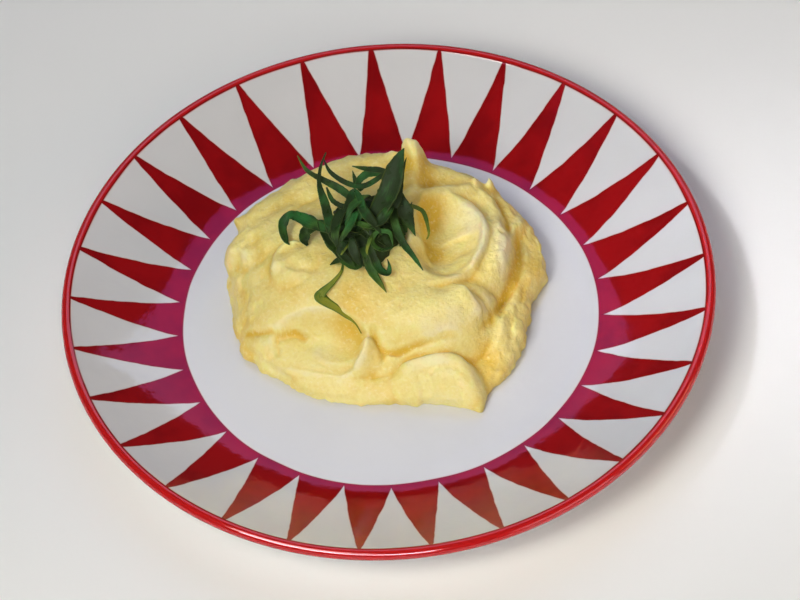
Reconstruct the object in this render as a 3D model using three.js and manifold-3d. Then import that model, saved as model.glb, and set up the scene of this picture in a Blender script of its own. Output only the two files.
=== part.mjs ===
// A serving of mashed potato on a round glazed plate, topped with shredded spring onion.
// Millimetres, +Z up. The origin is the centre of the plate's foot, on the table.

import * as THREE from "three";
import Module from "manifold-3d";
import { mergeVertices } from "three/addons/utils/BufferGeometryUtils.js";

// ---- Driving dimensions: the plate ----
const PLATE_RADIUS = 120;
const PLATE_HEIGHT = 22;
const FLOOR_TOP = 5.5; // the well's flat floor, above the table
const FLOOR_THICKNESS = 3.5;
const RIM_THICKNESS = 4.7; // measured upright, under the rounded edge
const WELL_RADIUS = 77; // where the flat floor ends and the rim starts to rise
const RIM_POWER = 1.4; // the rim gets steeper outwards
const BEAD_RADIUS = 2.3; // the rounded edge
const FOOT_OUTER = 71;
const FOOT_INNER = 65;
const PLATE_SIDES = 64;

// ---- Driving dimensions: the mashed potato ----
// Azimuths run in degrees from +X towards +Y, round the middle of the heap.
const MASH_CENTRE = { x: -1, y: 7 };
const MASH_TOP = 34; // the dome under the folds, above the well's floor
const DOME_POWER = 2.2; // how flat the dome is on top
const CURL_IN = 1.2; // the underside's edge turns in by this much
const MASH_SIDES = 96;
const MASH_RINGS = 28;
const GAP = 0.3; // between pieces that touch

// Distance from the middle to the edge on the plate; it comes to a point at 299 degrees.
const EDGE_RADIUS = [
  [2, 62.5], [11, 62.5], [20, 62], [38, 61.5], [55, 58], [72, 56.5], [90, 56.5], [110, 57.5], [130, 58.5],
  [142, 61], [150, 63], [157, 64], [163, 66], [167, 63], [173, 58], [183, 56.5], [198, 57.5], [218, 52.5],
  [241, 50.5], [254, 48.5], [267, 47], [288, 52], [295, 57.5], [299, 64], [303, 60], [307, 57],
  [312, 57.5], [322, 58], [332, 56.5], [343, 55], [350, 55.5], [356, 58],
];
// Height of the edge above the well's floor: high at the back, low at the front.
const EDGE_HEIGHT = [
  [0, 12.5], [30, 17.5], [60, 22.5], [85, 30], [105, 27.5], [130, 22.5], [145, 24.5], [155, 23], [163, 21],
  [169, 18], [178, 14.5], [190, 12], [205, 9], [225, 8], [245, 8], [262, 10], [280, 10.5], [295, 9],
  [303, 7], [312, 8], [335, 11],
];
// How far the foot lies in under the edge.
const UNDERCUT = [
  [5, 2.5], [30, 2], [60, 0.5], [120, 1], [145, 4], [157, 6], [163, 7], [167, 4], [173, 1], [200, 0.6],
  [250, 0.3], [300, 0], [330, 0.8], [350, 2],
];
// How steeply the mash drops at the edge.
const EDGE_POWER = [
  [0, 12], [40, 11], [60, 8], [120, 10], [145, 18], [165, 18], [180, 11], [205, 8], [290, 8], [330, 8],
];
// How far the dome reaches before it has come down to the edge's height.
const DOME_REACH = [
  [0, 50], [30, 54], [60, 58], [100, 60], [150, 60], [180, 58], [210, 54], [240, 45], [270, 40], [300, 40],
  [330, 43],
];

// Dollops folded on top of the dome: middle, half sizes, turn, top, how much it falls to its edge.
const FRONT_FOLD = { x: 11, y: -9, rx: 27, ry: 19.5, turn: -8, top: 30, fall: 12, power: 3.4, blend: 2 };
const RIGHT_SWIRL = { x: 26, y: 13, rx: 22, ry: 24, turn: -8, top: 30, fall: 14, power: 3.6, blend: 2.5 };
const LEFT_SWIRL = { x: -31, y: 6, rx: 11.5, ry: 10, turn: 10, top: 32, fall: 9, power: 3, blend: 1.5 };
const RIGHT_SHELF = { x: 42, y: -14, rx: 13, ry: 22, turn: 12, top: 14, fall: 6, power: 3, blend: 3 };
const FRONT_PETAL = { x: 14, y: -38, rx: 18, ry: 12.5, turn: -10, top: 16, fall: 8, power: 3.5, blend: 1 };
// Hollows left by the spoon; top is the lowest point and the fall is negative.
const SPOON_BOWL = {
  x: 25.5, y: 13, rx: 12, ry: 19, turn: -8, top: 20.5, fall: -8, power: 2.8, slope: 0.22, blend: 2,
};
const FRONT_HOLLOW = { x: -30.5, y: -22.5, rx: 21, ry: 8.5, turn: -14, top: 12, fall: -5, power: 4, blend: 1.5 };

// Ridges (height above zero) and creases (below zero) along routes, with a width to each side.
const STROKES = [
  // Back ridge
  { height: 2.4, left: 5, right: 6, fade: 0.15, route: [
    [-54, 36], [-39, 45], [-28, 48], [-13, 51], [2, 51], [10, 50], [17, 48], [22, 46], [28, 45], [36, 43],
    [44, 34],
  ] },
  // Peak
  { height: 10.5, left: 4, right: 6, fade: 0.36, route: [[10, 50], [14, 51], [19, 50.5]] },
  // Peak's front
  { height: 5, left: 3.5, right: 4, fade: 0.4, route: [[14.5, 54], [15.5, 46], [13.5, 36], [9, 24]] },
  // Trough under the peak
  { height: -2.5, left: 3, right: 3, fade: 0.25, route: [[2, 35], [10, 35], [17, 37], [25, 40], [34, 42]] },
  // Bowl's crease
  { height: -2.4, left: 2.2, right: 1, fade: 0.15, route: [
    [25, 33.5], [33, 30.5], [37.5, 21], [38, 12.5], [35, 3.5], [28.5, -4.5], [19, -9], [13, -9.5],
  ] },
  // Band's crest
  { height: 1.6, left: 2.2, right: 2.5, fade: 0.2, route: [
    [29, 36], [36, 38.5], [40.5, 34], [42.5, 28], [43.5, 19], [42, 10],
  ] },
  // Outer band
  { height: 2.2, left: 1.2, right: 2.5, fade: 0.25, route: [
    [44, 42], [49.5, 37], [51.5, 31], [50.5, 24], [48.5, 17],
  ] },
  // Deep crease
  { height: -3.4, left: 2.5, right: 2, fade: 0.12, route: [
    [51.5, 28], [49.5, 20], [48.5, 11.5], [46.5, 5], [44, -1.5], [41, -7.5], [37.5, -14.5], [34, -19.5],
    [29, -23],
  ] },
  // Front fold's crease
  { height: -1.9, left: 0.6, right: 1.2, fade: 0.15, route: [
    [-6.5, -22], [-4.5, -26], [-1, -28], [6, -28], [14.5, -27.5], [19, -26.5], [25, -25.5],
  ] },
  // Front fold's right edge
  { height: 2, left: 1, right: 4, fade: 0.25, route: [
    [22, -8], [28, -12], [31, -15.5], [32.5, -18], [32, -20.5], [28.5, -24],
  ] },
  // Petal's crest
  { height: 2.2, left: 1.3, right: 3.8, fade: 0.12, route: [
    [1, -33], [6, -33], [13, -32.5], [20, -31.5], [25, -33], [29, -38], [31, -43], [31.5, -48],
  ] },
  // Hollow's upper step
  { height: -2.8, left: 0.4, right: 2.4, fade: 0.12, route: [
    [-54, -6.5], [-50.5, -9], [-45, -11.5], [-40.5, -13.5], [-37, -13.5], [-34, -14], [-29.5, -16.5],
  ] },
  // Hollow's rim
  { height: 2.5, left: 1.3, right: 1.9, fade: 0.1, route: [
    [-50.5, -14.5], [-48, -19], [-42, -23.5], [-34.5, -27.5], [-27.5, -30.5], [-20.5, -32.5], [-15.5, -32],
    [-12, -30], [-10, -27.5], [-9, -24.5],
  ] },
  // Ridge beside the pit
  { height: 1.8, left: 2.2, right: 2.2, fade: 0.3, route: [
    [-15.5, -31.5], [-12, -30], [-10, -27.5], [-9.5, -23.5],
  ] },
  // Pit by the rim
  { height: -2.4, left: 1.4, right: 1.5, fade: 0.3, route: [
    [-7.5, -20.5], [-6.5, -24], [-4.5, -27.5], [-3, -29.5],
  ] },
  // Left swirl's crest
  { height: 2.3, left: 2.8, right: 1.1, fade: 0.2, route: [
    [-29, 13.5], [-33, 14], [-37, 13.5], [-39.5, 11], [-41, 7], [-40, 2.5],
  ] },
  // Left dip
  { height: -2.4, left: 3.5, right: 3.5, fade: 0.3, route: [[-47, 26], [-46.5, 18], [-45, 10]] },
  // Left ledge
  { height: -2.6, left: 1.5, right: 2.2, fade: 0.3, route: [[-61, 17], [-56, 17], [-53, 15.5], [-49.5, 12]] },
  // Left flank
  { height: -1.6, left: 2, right: 2.5, fade: 0.3, route: [
    [-58, 11], [-53, 8], [-52, 2], [-52.5, -4], [-49, -9],
  ] },
  // Trough at the left back
  { height: -1.5, left: 3, right: 3, fade: 0.3, route: [[-50, 28], [-40, 33], [-29, 36], [-15, 37]] },
];

// ---- Driving dimensions: the spring onion ----
const SHRED_THICKNESS = 0.8;
const SHRED_STEPS = 8;
const HEAP_CENTRE = { x: -6, y: 12.5 };
const HEAP_CORE = { rx: 13, ry: 14, rz: 9, height: 34.5 };
const ROOT_HEIGHT = 37; // where a long shred ends inside the core
const SMALL_SHREDS = { count: 9, reach: 12, length: 14, width: 3.4, low: 43, high: 45, seed: 7 };

// The long shreds, each from its free tip into the heap: x, y, height above the well's floor and width.
const LONG_SHREDS = [
  // Top left strip
  [[-28, 39.5, 50, 0.3], [-25, 34, 47.5, 1.5], [-19.5, 30, 46, 2.4], [-13.5, 25.5, 45, 3], [-7, 20, 42, 2.7]],
  // Tall left strip
  [
    [-17.5, 38, 52, 0.5], [-20, 33.5, 49, 1.3], [-21, 27.5, 46.5, 1.9], [-19.5, 19.5, 44.5, 3.3],
    [-18, 10, 42, 4.4], [-16, 5.5, 40, 3.7],
  ],
  // Sagging strip
  [
    [-18.5, 38, 48, 0.4], [-16.5, 32.5, 47, 1.5], [-11, 27.5, 46, 2.1], [-5, 24.5, 47, 2.2],
    [1.5, 26.5, 49, 1.9], [4, 28.5, 50, 1.5],
  ],
  // Top strip
  [[-8.5, 32, 50, 0.3], [-3.5, 30, 50, 2], [2, 28.5, 50, 2.2], [4.5, 27, 49, 1.7]],
  // Curl's spike
  [[-8.5, 31.5, 48, 0.2], [-7.5, 27, 46, 2.2], [-5.5, 24.5, 45, 2.6]],
  // Curl
  [[-7.5, 25.5, 46, 1.8], [-6, 28, 47, 2.6], [-2.5, 29, 48.5, 3], [1.5, 27.5, 49, 1.5]],
  // Blade
  [
    [11, 30.5, 59, 0.3], [9.5, 28.5, 57.5, 3.4], [6, 24, 54, 8.5], [3, 18.5, 50, 9.7],
    [-0.5, 12.5, 46, 8.6], [-2.5, 8.5, 44, 5.8],
  ],
  // Right leaf
  [[12, 9, 34.5, 0.2], [10, 12.5, 40, 3.5], [9, 14.5, 43, 4.8], [6.5, 19.5, 46.5, 3.5], [4, 23, 47, 2.9]],
  // Thin arc
  [[16, 11, 29.5, 0.4], [17, 13, 31, 0.9], [16, 16.5, 37, 1.9], [13.5, 17.5, 40, 2.4], [7.5, 17, 44, 2.5]],
  // Right strip
  [
    [13.5, -4.5, 31, 0.3], [10.5, -0.5, 34.5, 2.1], [7, 3.5, 38.5, 2.9], [5, 9.5, 42.5, 3.3],
    [5, 17.5, 45, 2.3], [5, 21.5, 46, 1.9],
  ],
  // Left arm
  [
    [-34, 12, 33, 0.5], [-35.5, 14, 33.5, 2.3], [-36, 19.5, 35, 3.4], [-33, 22, 37.5, 2.7],
    [-28.5, 18, 40, 3.7], [-26, 15.5, 40.5, 4.5], [-21.5, 11.5, 41.5, 2.8], [-18.5, 9.5, 42, 3.2],
  ],
  // Left lobe
  [
    [-27.5, 9.5, 34.5, 1.1], [-28.5, 11.5, 35.5, 3.5], [-27, 14.5, 37, 4.8], [-22, 14, 40, 3.9],
    [-19, 12, 41, 3.3],
  ],
  // Broad left leaf
  [
    [-15.5, -1.5, 36, 0.6], [-16, 1.5, 37.5, 3.5], [-18.5, 6.5, 39, 5.5], [-21.5, 12.5, 41, 3.4],
    [-22, 14.5, 42, 2.2],
  ],
  // Bottom left tip
  [[-20, -1, 35, 0.3], [-16.5, 0, 36, 2.7], [-14, -1, 37, 2.5]],
  // Bottom leaf
  [[-16, -1, 36.5, 1.3], [-11, -3.5, 36, 3.9], [-8.5, -3, 37, 3.1], [-6.5, -1.5, 38.5, 2.1]],
  // Tongue
  [[-0.5, -13, 31, 0.2], [-2, -10.5, 32, 1.6], [-5, -6, 35, 3.6], [-6.5, -1.5, 39, 3.6], [-7.5, 1, 41, 3]],
  // Hook
  [
    [1, -2.5, 37, 0.3], [1.5, -5, 35.5, 1.4], [0.5, -7, 34, 3], [-2.5, -5, 35, 3.5],
    [-4.5, -0.5, 39.5, 3.4], [-5.5, 2.5, 41.5, 2.3],
  ],
  // Ring
  [
    [3.5, 1, 40, 1.2], [2, 0, 40, 2.6], [-0.5, 0, 39.5, 3.1], [-2.5, 1.5, 40, 3], [-3.5, 4, 40.5, 2],
    [-2, 6.5, 41.5, 1.6], [0.5, 6.5, 42, 1.7], [3, 5.5, 42, 1.5], [3.5, 0, 40.5, 0.4],
  ],
  // Bar above the ring
  [[-8.5, 8, 45, 1], [-4.5, 5, 44, 2.6], [-2, 4, 43, 2.3], [0, 2.5, 41.5, 1.2]],
  // Pale upper leaf
  [[-5, 19.5, 48, 1.2], [-7.5, 17.5, 48, 2.8], [-11, 13.5, 47, 2.4], [-12, 11, 46, 1.6]],
  // Dark front leaf
  [[-11, 1.5, 45.5, 0.7], [-11, -1, 44.5, 2.9], [-10.5, -3.5, 43, 3.7], [-10, -4.5, 40.5, 3]],
];
// The light shred that lies down the front of the mash: x, y and width.
const LOOSE_SHRED = [
  [-15, 2, 0.5], [-16, -2.5, 1.1], [-19.5, -6, 2.1], [-23.5, -8.5, 3.6], [-24.5, -10, 4.6],
  [-21.5, -13, 3.7], [-17, -16, 2.5], [-13, -19, 0.7], [-11, -22, 0.3],
];
const LOOSE_LIFT = 1; // of its middle above the mash

const COLOURS = { plate: 0xd9d6d6, mash: 0xe9d289, shreds: 0x3a5426, looseShred: 0x93962c };

const wasm = await Module();
wasm.setup();

// ---- Small helpers ----

const clamp = (value, low, high) => Math.min(Math.max(value, low), high);
const radians = (degrees) => (degrees * Math.PI) / 180;

// A repeatable stream of numbers from 0 to 1.
function seededRandom(seed) {
  let state = seed;
  return () => {
    state = (state * 16807) % 2147483647;
    return state / 2147483647;
  };
}

// One coordinate of a Catmull-Rom curve between b and c.
function catmullRom(a, b, c, d, t) {
  const linear = (c - a) * t;
  const square = (2 * a - 5 * b + 4 * c - d) * t * t;
  const cube = (3 * b - a - 3 * c + d) * t * t * t;
  return 0.5 * (2 * b + linear + square + cube);
}

// A value that varies smoothly all round, through [azimuth, value] pairs.
function round(azimuth, pairs) {
  const turn = ((azimuth % 360) + 360) % 360;
  const count = pairs.length;
  let index = count - 1;
  for (let i = 0; i < count; i += 1) {
    if (pairs[i][0] <= turn) index = i;
  }
  if (turn < pairs[0][0]) index = count - 1;
  const at = (offset) => pairs[(index + offset + count) % count];
  const start = at(0)[0];
  const span = (at(1)[0] - start + 360) % 360;
  const t = ((turn - start + 360) % 360) / span;
  return catmullRom(at(-1)[1], at(0)[1], at(1)[1], at(2)[1], t);
}

// The larger of two heights, with the meeting line rounded.
function smoothMax(a, b, blend) {
  const near = Math.max(blend - Math.abs(a - b), 0) / blend;
  return Math.max(a, b) + near * near * blend * 0.25;
}

const smoothMin = (a, b, blend) => -smoothMax(-a, -b, blend);

// ---- The mashed potato's top surface ----

// Height of a dollop, or of a hollow where its fall is negative, at a place.
function dollop(x, y, { x: cx, y: cy, rx, ry, turn, top, fall, power, slope = 0 }) {
  const cos = Math.cos(radians(turn));
  const sin = Math.sin(radians(turn));
  const along = ((x - cx) * cos + (y - cy) * sin) / rx;
  const across = ((y - cy) * cos - (x - cx) * sin) / ry;
  return top + slope * (x - cx) - fall * Math.hypot(along, across) ** power;
}

// Every route is smoothed once, into short straight steps.
function smoothRoute(route, steps) {
  const at = (i) => route[clamp(i, 0, route.length - 1)];
  const points = [];
  for (let k = 0; k <= steps; k += 1) {
    const place = (k / steps) * (route.length - 1);
    const i = Math.min(Math.floor(place), route.length - 2);
    points.push(route[0].map((_, axis) => catmullRom(...[-1, 0, 1, 2].map((o) => at(i + o)[axis]), place - i)));
  }
  return points;
}

const smoothStrokes = STROKES.map((stroke) => ({ ...stroke, points: smoothRoute(stroke.route, 32) }));

// How much a ridge or crease adds at a place: a bell across it that fades out at its ends.
function strokeHeight(x, y, { height, left, right, fade, points }) {
  let nearest = Infinity;
  let along = 0;
  let side = 1;
  for (let i = 0; i < points.length - 1; i += 1) {
    const [ax, ay] = points[i];
    const dx = points[i + 1][0] - ax;
    const dy = points[i + 1][1] - ay;
    const t = clamp(((x - ax) * dx + (y - ay) * dy) / (dx * dx + dy * dy), 0, 1);
    const away = Math.hypot(x - ax - t * dx, y - ay - t * dy);
    if (away < nearest) {
      nearest = away;
      along = (i + t) / (points.length - 1);
      side = dx * (y - ay) - dy * (x - ax);
    }
  }
  const ends = THREE.MathUtils.smoothstep(Math.min(along, 1 - along), 0, fade);
  const width = side > 0 ? left : right;
  return height * ends * Math.exp(-((nearest / width) ** 2));
}

// Height of the mash above the well's floor, before its edge is rounded down to the plate.
function mashHeight(x, y) {
  const dx = x - MASH_CENTRE.x;
  const dy = y - MASH_CENTRE.y;
  const azimuth = THREE.MathUtils.radToDeg(Math.atan2(dy, dx));
  const edge = round(azimuth, EDGE_HEIGHT);
  const outwards = Math.hypot(dx, dy) / round(azimuth, DOME_REACH);
  let z = edge + (MASH_TOP - edge) * Math.max(1 - outwards ** DOME_POWER, 0);
  for (const fold of [FRONT_FOLD, RIGHT_SWIRL, LEFT_SWIRL, RIGHT_SHELF]) {
    z = smoothMax(z, dollop(x, y, fold), fold.blend);
  }
  for (const hollow of [SPOON_BOWL, FRONT_HOLLOW]) {
    z = smoothMin(z, dollop(x, y, hollow), hollow.blend);
  }
  z = smoothMax(z, dollop(x, y, FRONT_PETAL), FRONT_PETAL.blend);
  for (const stroke of smoothStrokes) {
    z += strokeHeight(x, y, stroke);
  }
  return z;
}

// ---- Solids ----

function toManifold(geometry) {
  const bare = geometry.clone();
  bare.deleteAttribute("normal");
  bare.deleteAttribute("uv");
  const merged = mergeVertices(bare, 1e-4);
  return new wasm.Manifold(
    new wasm.Mesh({
      numProp: 3,
      vertProperties: new Float32Array(merged.attributes.position.array),
      triVerts: new Uint32Array(merged.index.array),
    }),
  );
}

function toGeometry(manifold) {
  const mesh = manifold.getMesh();
  const geometry = new THREE.BufferGeometry();
  geometry.setAttribute("position", new THREE.BufferAttribute(new Float32Array(mesh.vertProperties), 3));
  geometry.setIndex(new THREE.BufferAttribute(new Uint32Array(mesh.triVerts), 1));
  geometry.computeVertexNormals();
  return geometry;
}

function indexedGeometry(positions, triangles) {
  const geometry = new THREE.BufferGeometry();
  geometry.setAttribute("position", new THREE.Float32BufferAttribute(positions.flat(), 3));
  geometry.setIndex(triangles.flat());
  geometry.computeVertexNormals();
  return geometry;
}

// A solid from closed rings of equally many points, capped with a fan at each end.
function ringSolid(firstPoint, rings, lastPoint) {
  const sides = rings[0].length;
  const positions = [firstPoint, ...rings.flat(), lastPoint];
  const last = positions.length - 1;
  const triangles = [];
  for (let j = 0; j < sides; j += 1) {
    const next = (j + 1) % sides;
    triangles.push([0, 1 + j, 1 + next]);
    for (let i = 0; i < rings.length - 1; i += 1) {
      const upper = 1 + i * sides;
      const lower = upper + sides;
      triangles.push([upper + j, lower + j, lower + next]);
      triangles.push([upper + j, lower + next, upper + next]);
    }
    const end = 1 + (rings.length - 1) * sides;
    triangles.push([last, end + next, end + j]);
  }
  return indexedGeometry(positions, triangles);
}

// Height of the plate's upper side at a distance from its axis.
function rimHeight(r) {
  const outwards = Math.max(r - WELL_RADIUS, 0) / (PLATE_RADIUS - BEAD_RADIUS - WELL_RADIUS);
  return FLOOR_TOP + (PLATE_HEIGHT - FLOOR_TOP) * outwards ** RIM_POWER;
}

// The plate: a flat well, a rim that curves up to a rounded edge, and a foot ring.
function plateGeometry() {
  const bead = { r: PLATE_RADIUS - BEAD_RADIUS, z: PLATE_HEIGHT - BEAD_RADIUS };
  const beadStart = bead.r - 2;
  const underside = FLOOR_TOP - FLOOR_THICKNESS;
  const profile = [
    [0, underside], [FOOT_INNER - 1, underside], [FOOT_INNER, 0], [FOOT_OUTER - 0.6, 0], [FOOT_OUTER, 0.6],
    [FOOT_OUTER + 2, underside],
  ];
  for (const share of [0.25, 0.5, 0.75, 1]) {
    const r = THREE.MathUtils.lerp(WELL_RADIUS, beadStart - 2, share);
    profile.push([r, rimHeight(r) - THREE.MathUtils.lerp(FLOOR_THICKNESS, RIM_THICKNESS, share)]);
  }
  for (const angle of [-85, -45, 0, 45, 90]) {
    profile.push([
      bead.r + BEAD_RADIUS * Math.cos(radians(angle)),
      bead.z + BEAD_RADIUS * Math.sin(radians(angle)),
    ]);
  }
  for (const share of [1, 0.8, 0.6, 0.4, 0.2, 0]) {
    const r = THREE.MathUtils.lerp(WELL_RADIUS, beadStart, share);
    profile.push([r, rimHeight(r)]);
  }
  profile.push([0, FLOOR_TOP]);
  return new THREE.LatheGeometry(profile.map(([r, z]) => new THREE.Vector2(r, z)), PLATE_SIDES).rotateX(Math.PI / 2);
}

// The mash as rings from its middle out to its edge; raise lifts the top, for what has to clear it.
function mashGeometry(raise) {
  const base = FLOOR_TOP + GAP;
  const point = (azimuth, share, z, inset) => {
    const reach = round(azimuth, EDGE_RADIUS) * share - round(azimuth, UNDERCUT) * share ** 24 - inset;
    const x = MASH_CENTRE.x + reach * Math.cos(radians(azimuth));
    const y = MASH_CENTRE.y + reach * Math.sin(radians(azimuth));
    const side = Math.sqrt(1 - share ** round(azimuth, EDGE_POWER));
    return [x, y, z ?? base + CURL_IN * share ** 4 + raise + mashHeight(x, y) * side];
  };
  const rings = [];
  for (let i = 1; i <= MASH_RINGS; i += 1) {
    const v = i / MASH_RINGS;
    const share = v * (2 - v);
    rings.push(ringOf((azimuth) => point(azimuth, share, undefined, 0)));
  }
  rings.push(ringOf((azimuth) => point(azimuth, 1, base, CURL_IN)));
  rings.push(ringOf((azimuth) => point(azimuth, 0.5, base, 0)));
  const top = [MASH_CENTRE.x, MASH_CENTRE.y, base + raise + mashHeight(MASH_CENTRE.x, MASH_CENTRE.y)];
  return ringSolid(top, rings, [MASH_CENTRE.x, MASH_CENTRE.y, base]);
}

function ringOf(pointAt) {
  return Array.from({ length: MASH_SIDES }, (_, j) => pointAt((j / MASH_SIDES) * 360));
}

// A thin strip along a path of [x, y, z, width]; its flat side faces up, turned about the path by roll.
function stripGeometry(path, roll) {
  const sections = path.map(([x, y, z, width], i) => {
    const before = path[Math.max(i - 1, 0)];
    const after = path[Math.min(i + 1, path.length - 1)];
    const along = new THREE.Vector3(after[0] - before[0], after[1] - before[1], after[2] - before[2]).normalize();
    const across = new THREE.Vector3(0, 0, 1).cross(along).normalize().applyAxisAngle(along, roll);
    const up = along.clone().cross(across);
    const corner = (side, face) => [x, y, z].map((value, axis) => {
      const a = across.getComponent(axis) * side * width * 0.5;
      const b = up.getComponent(axis) * face * SHRED_THICKNESS * 0.5;
      return value + a + b;
    });
    return [corner(-1, -1), corner(1, -1), corner(1, 1), corner(-1, 1)];
  });
  const positions = sections.flat();
  const triangles = [[0, 2, 1], [0, 3, 2]];
  for (let i = 0; i < sections.length - 1; i += 1) {
    for (let j = 0; j < 4; j += 1) {
      const a = i * 4 + j;
      const b = i * 4 + ((j + 1) % 4);
      triangles.push(...splitSide(a, b, b + 4, a + 4, j === 2));
    }
  }
  const end = (sections.length - 1) * 4;
  triangles.push([end, end + 1, end + 2], [end, end + 2, end + 3]);
  return indexedGeometry(positions, triangles);
}

// Two triangles for one face of a strip; the top is split along the same diagonal as the bottom.
function splitSide(a, b, c, d, mirrored) {
  return mirrored ? [[a, b, d], [b, c, d]] : [[a, b, c], [a, c, d]];
}

// Pointed towards its ends, widest in the middle.
const leafWidth = (along, width) => width * clamp(4 * along * (1 - along) + 0.12, 0.12, 1);

// A long shred runs on from its last listed point into the core.
function longShred(route) {
  const [x, y, , width] = route.at(-1);
  const root = [(x + HEAP_CENTRE.x) / 2, (y + HEAP_CENTRE.y) / 2, ROOT_HEIGHT, width];
  const path = smoothRoute([...route, root], SHRED_STEPS);
  return toManifold(stripGeometry(path.map(([px, py, h, w]) => [px, py, FLOOR_TOP + h, w]), 0));
}

// Short curled shreds strewn over the heap's core by a seeded rule.
function smallShreds() {
  const random = seededRandom(SMALL_SHREDS.seed);
  const steps = 5;
  return Array.from({ length: SMALL_SHREDS.count }, (_, k) => {
    const outwards = SMALL_SHREDS.reach * Math.sqrt((k + 0.5) / SMALL_SHREDS.count);
    const place = k * radians(137.5);
    const heading = random() * Math.PI * 2;
    const bend = (random() - 0.5) * 2.4;
    const low = THREE.MathUtils.lerp(SMALL_SHREDS.low, SMALL_SHREDS.high, random());
    const path = Array.from({ length: steps + 1 }, (_, i) => {
      const along = i / steps;
      const turn = heading + bend * (along - 0.5);
      const reach = (along - 0.5) * SMALL_SHREDS.length;
      const x = HEAP_CENTRE.x + outwards * Math.cos(place) + reach * Math.cos(turn);
      const y = HEAP_CENTRE.y + outwards * Math.sin(place) + reach * Math.sin(turn);
      const z = FLOOR_TOP + low - outwards * 0.25 - reach * reach * 0.05;
      return [x, y, z, leafWidth(along, SMALL_SHREDS.width)];
    });
    return toManifold(stripGeometry(path, (random() - 0.5) * 1.6));
  });
}

// The heap: a low core with the shreds fused on, trimmed to rest just clear of the mash.
function heapGeometry(clearance) {
  const core = new THREE.IcosahedronGeometry(1, 3);
  core.scale(HEAP_CORE.rx, HEAP_CORE.ry, HEAP_CORE.rz);
  core.translate(HEAP_CENTRE.x, HEAP_CENTRE.y, FLOOR_TOP + HEAP_CORE.height);
  const pieces = [toManifold(core), ...LONG_SHREDS.map(longShred), ...smallShreds()];
  const joined = pieces.reduce((whole, piece) => whole.add(piece));
  return toGeometry(largestPart(joined.subtract(clearance)));
}

// The loose shred follows the mash's surface, a little above it.
function looseShredGeometry(clearance) {
  const path = smoothRoute(LOOSE_SHRED, 18).map(([x, y, width]) => {
    return [x, y, FLOOR_TOP + GAP + mashHeight(x, y) + LOOSE_LIFT, width];
  });
  return toGeometry(largestPart(toManifold(stripGeometry(path, 0)).subtract(clearance)));
}

function largestPart(manifold) {
  const parts = manifold.decompose();
  return parts.reduce((best, part) => (part.volume() > best.volume() ? part : best));
}

// ---- The part ----

function piece(name, geometry, color, roughness) {
  const material = new THREE.MeshStandardMaterial({ color, roughness, metalness: 0 });
  const mesh = new THREE.Mesh(geometry, material);
  mesh.name = name;
  return mesh;
}

const clearance = toManifold(mashGeometry(GAP));

const serving = new THREE.Group();
serving.add(piece("plate", plateGeometry(), COLOURS.plate, 0.15));
serving.add(piece("mashed_potato", mashGeometry(0), COLOURS.mash, 0.6));
serving.add(piece("onion_heap", heapGeometry(clearance), COLOURS.shreds, 0.4));
serving.add(piece("loose_shred", looseShredGeometry(clearance), COLOURS.looseShred, 0.4));

export default serving;
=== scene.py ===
"""A serving of mashed potato on a painted plate, topped with shredded spring onion.

Every shape is worked out in millimetres, in the frame's axes, and written to its mesh in metres.
"""
import math

import bpy
import numpy as np
from bpy.props import FloatProperty, FloatVectorProperty, IntProperty, PointerProperty
from mathutils import Matrix, Vector


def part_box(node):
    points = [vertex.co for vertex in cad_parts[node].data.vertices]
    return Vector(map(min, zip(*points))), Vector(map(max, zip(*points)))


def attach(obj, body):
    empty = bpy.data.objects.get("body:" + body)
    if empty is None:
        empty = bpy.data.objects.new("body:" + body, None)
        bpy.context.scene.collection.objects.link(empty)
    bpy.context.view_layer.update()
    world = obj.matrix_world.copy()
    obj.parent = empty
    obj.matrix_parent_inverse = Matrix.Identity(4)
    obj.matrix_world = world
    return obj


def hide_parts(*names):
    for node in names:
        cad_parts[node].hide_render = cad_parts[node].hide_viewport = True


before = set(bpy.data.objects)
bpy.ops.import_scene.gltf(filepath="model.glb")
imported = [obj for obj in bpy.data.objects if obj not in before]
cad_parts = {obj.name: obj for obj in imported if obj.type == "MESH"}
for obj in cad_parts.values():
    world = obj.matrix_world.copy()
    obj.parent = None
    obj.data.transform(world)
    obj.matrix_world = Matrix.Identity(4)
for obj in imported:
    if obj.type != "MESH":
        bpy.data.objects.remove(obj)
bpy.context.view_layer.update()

bl_info = {
    "name": "Mashed potato serving",
    "version": (1, 0, 0),
    "blender": (4, 5, 0),
    "location": "View3D > Sidebar > Serving",
    "description": "Builds a plated mashed potato side with spring onion on top",
    "category": "Add Mesh",
}

MM = 0.001
PLATE_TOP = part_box("plate")[1][2] / MM
BODY = "root"

# The mash's middle on the plate, and the gap between touching pieces.
MASH_CENTRE = (-1.0, 7.0)
GAP = 0.3

# Distance from the mash's middle to its edge by azimuth in degrees; it comes to a point at 299.
EDGE_RADIUS = (
    (2, 62.5), (11, 62.5), (20, 62), (29, 60.3), (38, 60.5), (55, 58), (72, 56.5), (90, 56.5),
    (110, 57.5), (130, 58.5),
    (142, 61), (148, 62.3), (151, 65.7), (154, 61.5), (157, 62.3), (163, 64.8), (167, 63.2), (173, 58),
    (183, 56.5), (198, 57.5), (218, 52.5),
    (241, 50.5), (254, 48.5), (267, 47), (288, 52), (295, 57.5), (299, 64), (303, 60), (307, 57),
    (312, 57.5),
    (322, 58), (332, 56.5), (343, 55), (350, 55.5), (356, 58),
)
# How far the foot lies in under the edge.
UNDERCUT = (
    (5, 2.5), (30, 2), (60, 0.5), (120, 1), (145, 4), (148, 4.5), (151, 9), (154, 5.5), (157, 6),
    (163, 7), (167, 4), (173, 1), (200, 0.6),
    (250, 0.3), (300, 0), (330, 0.8), (350, 2),
)
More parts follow.
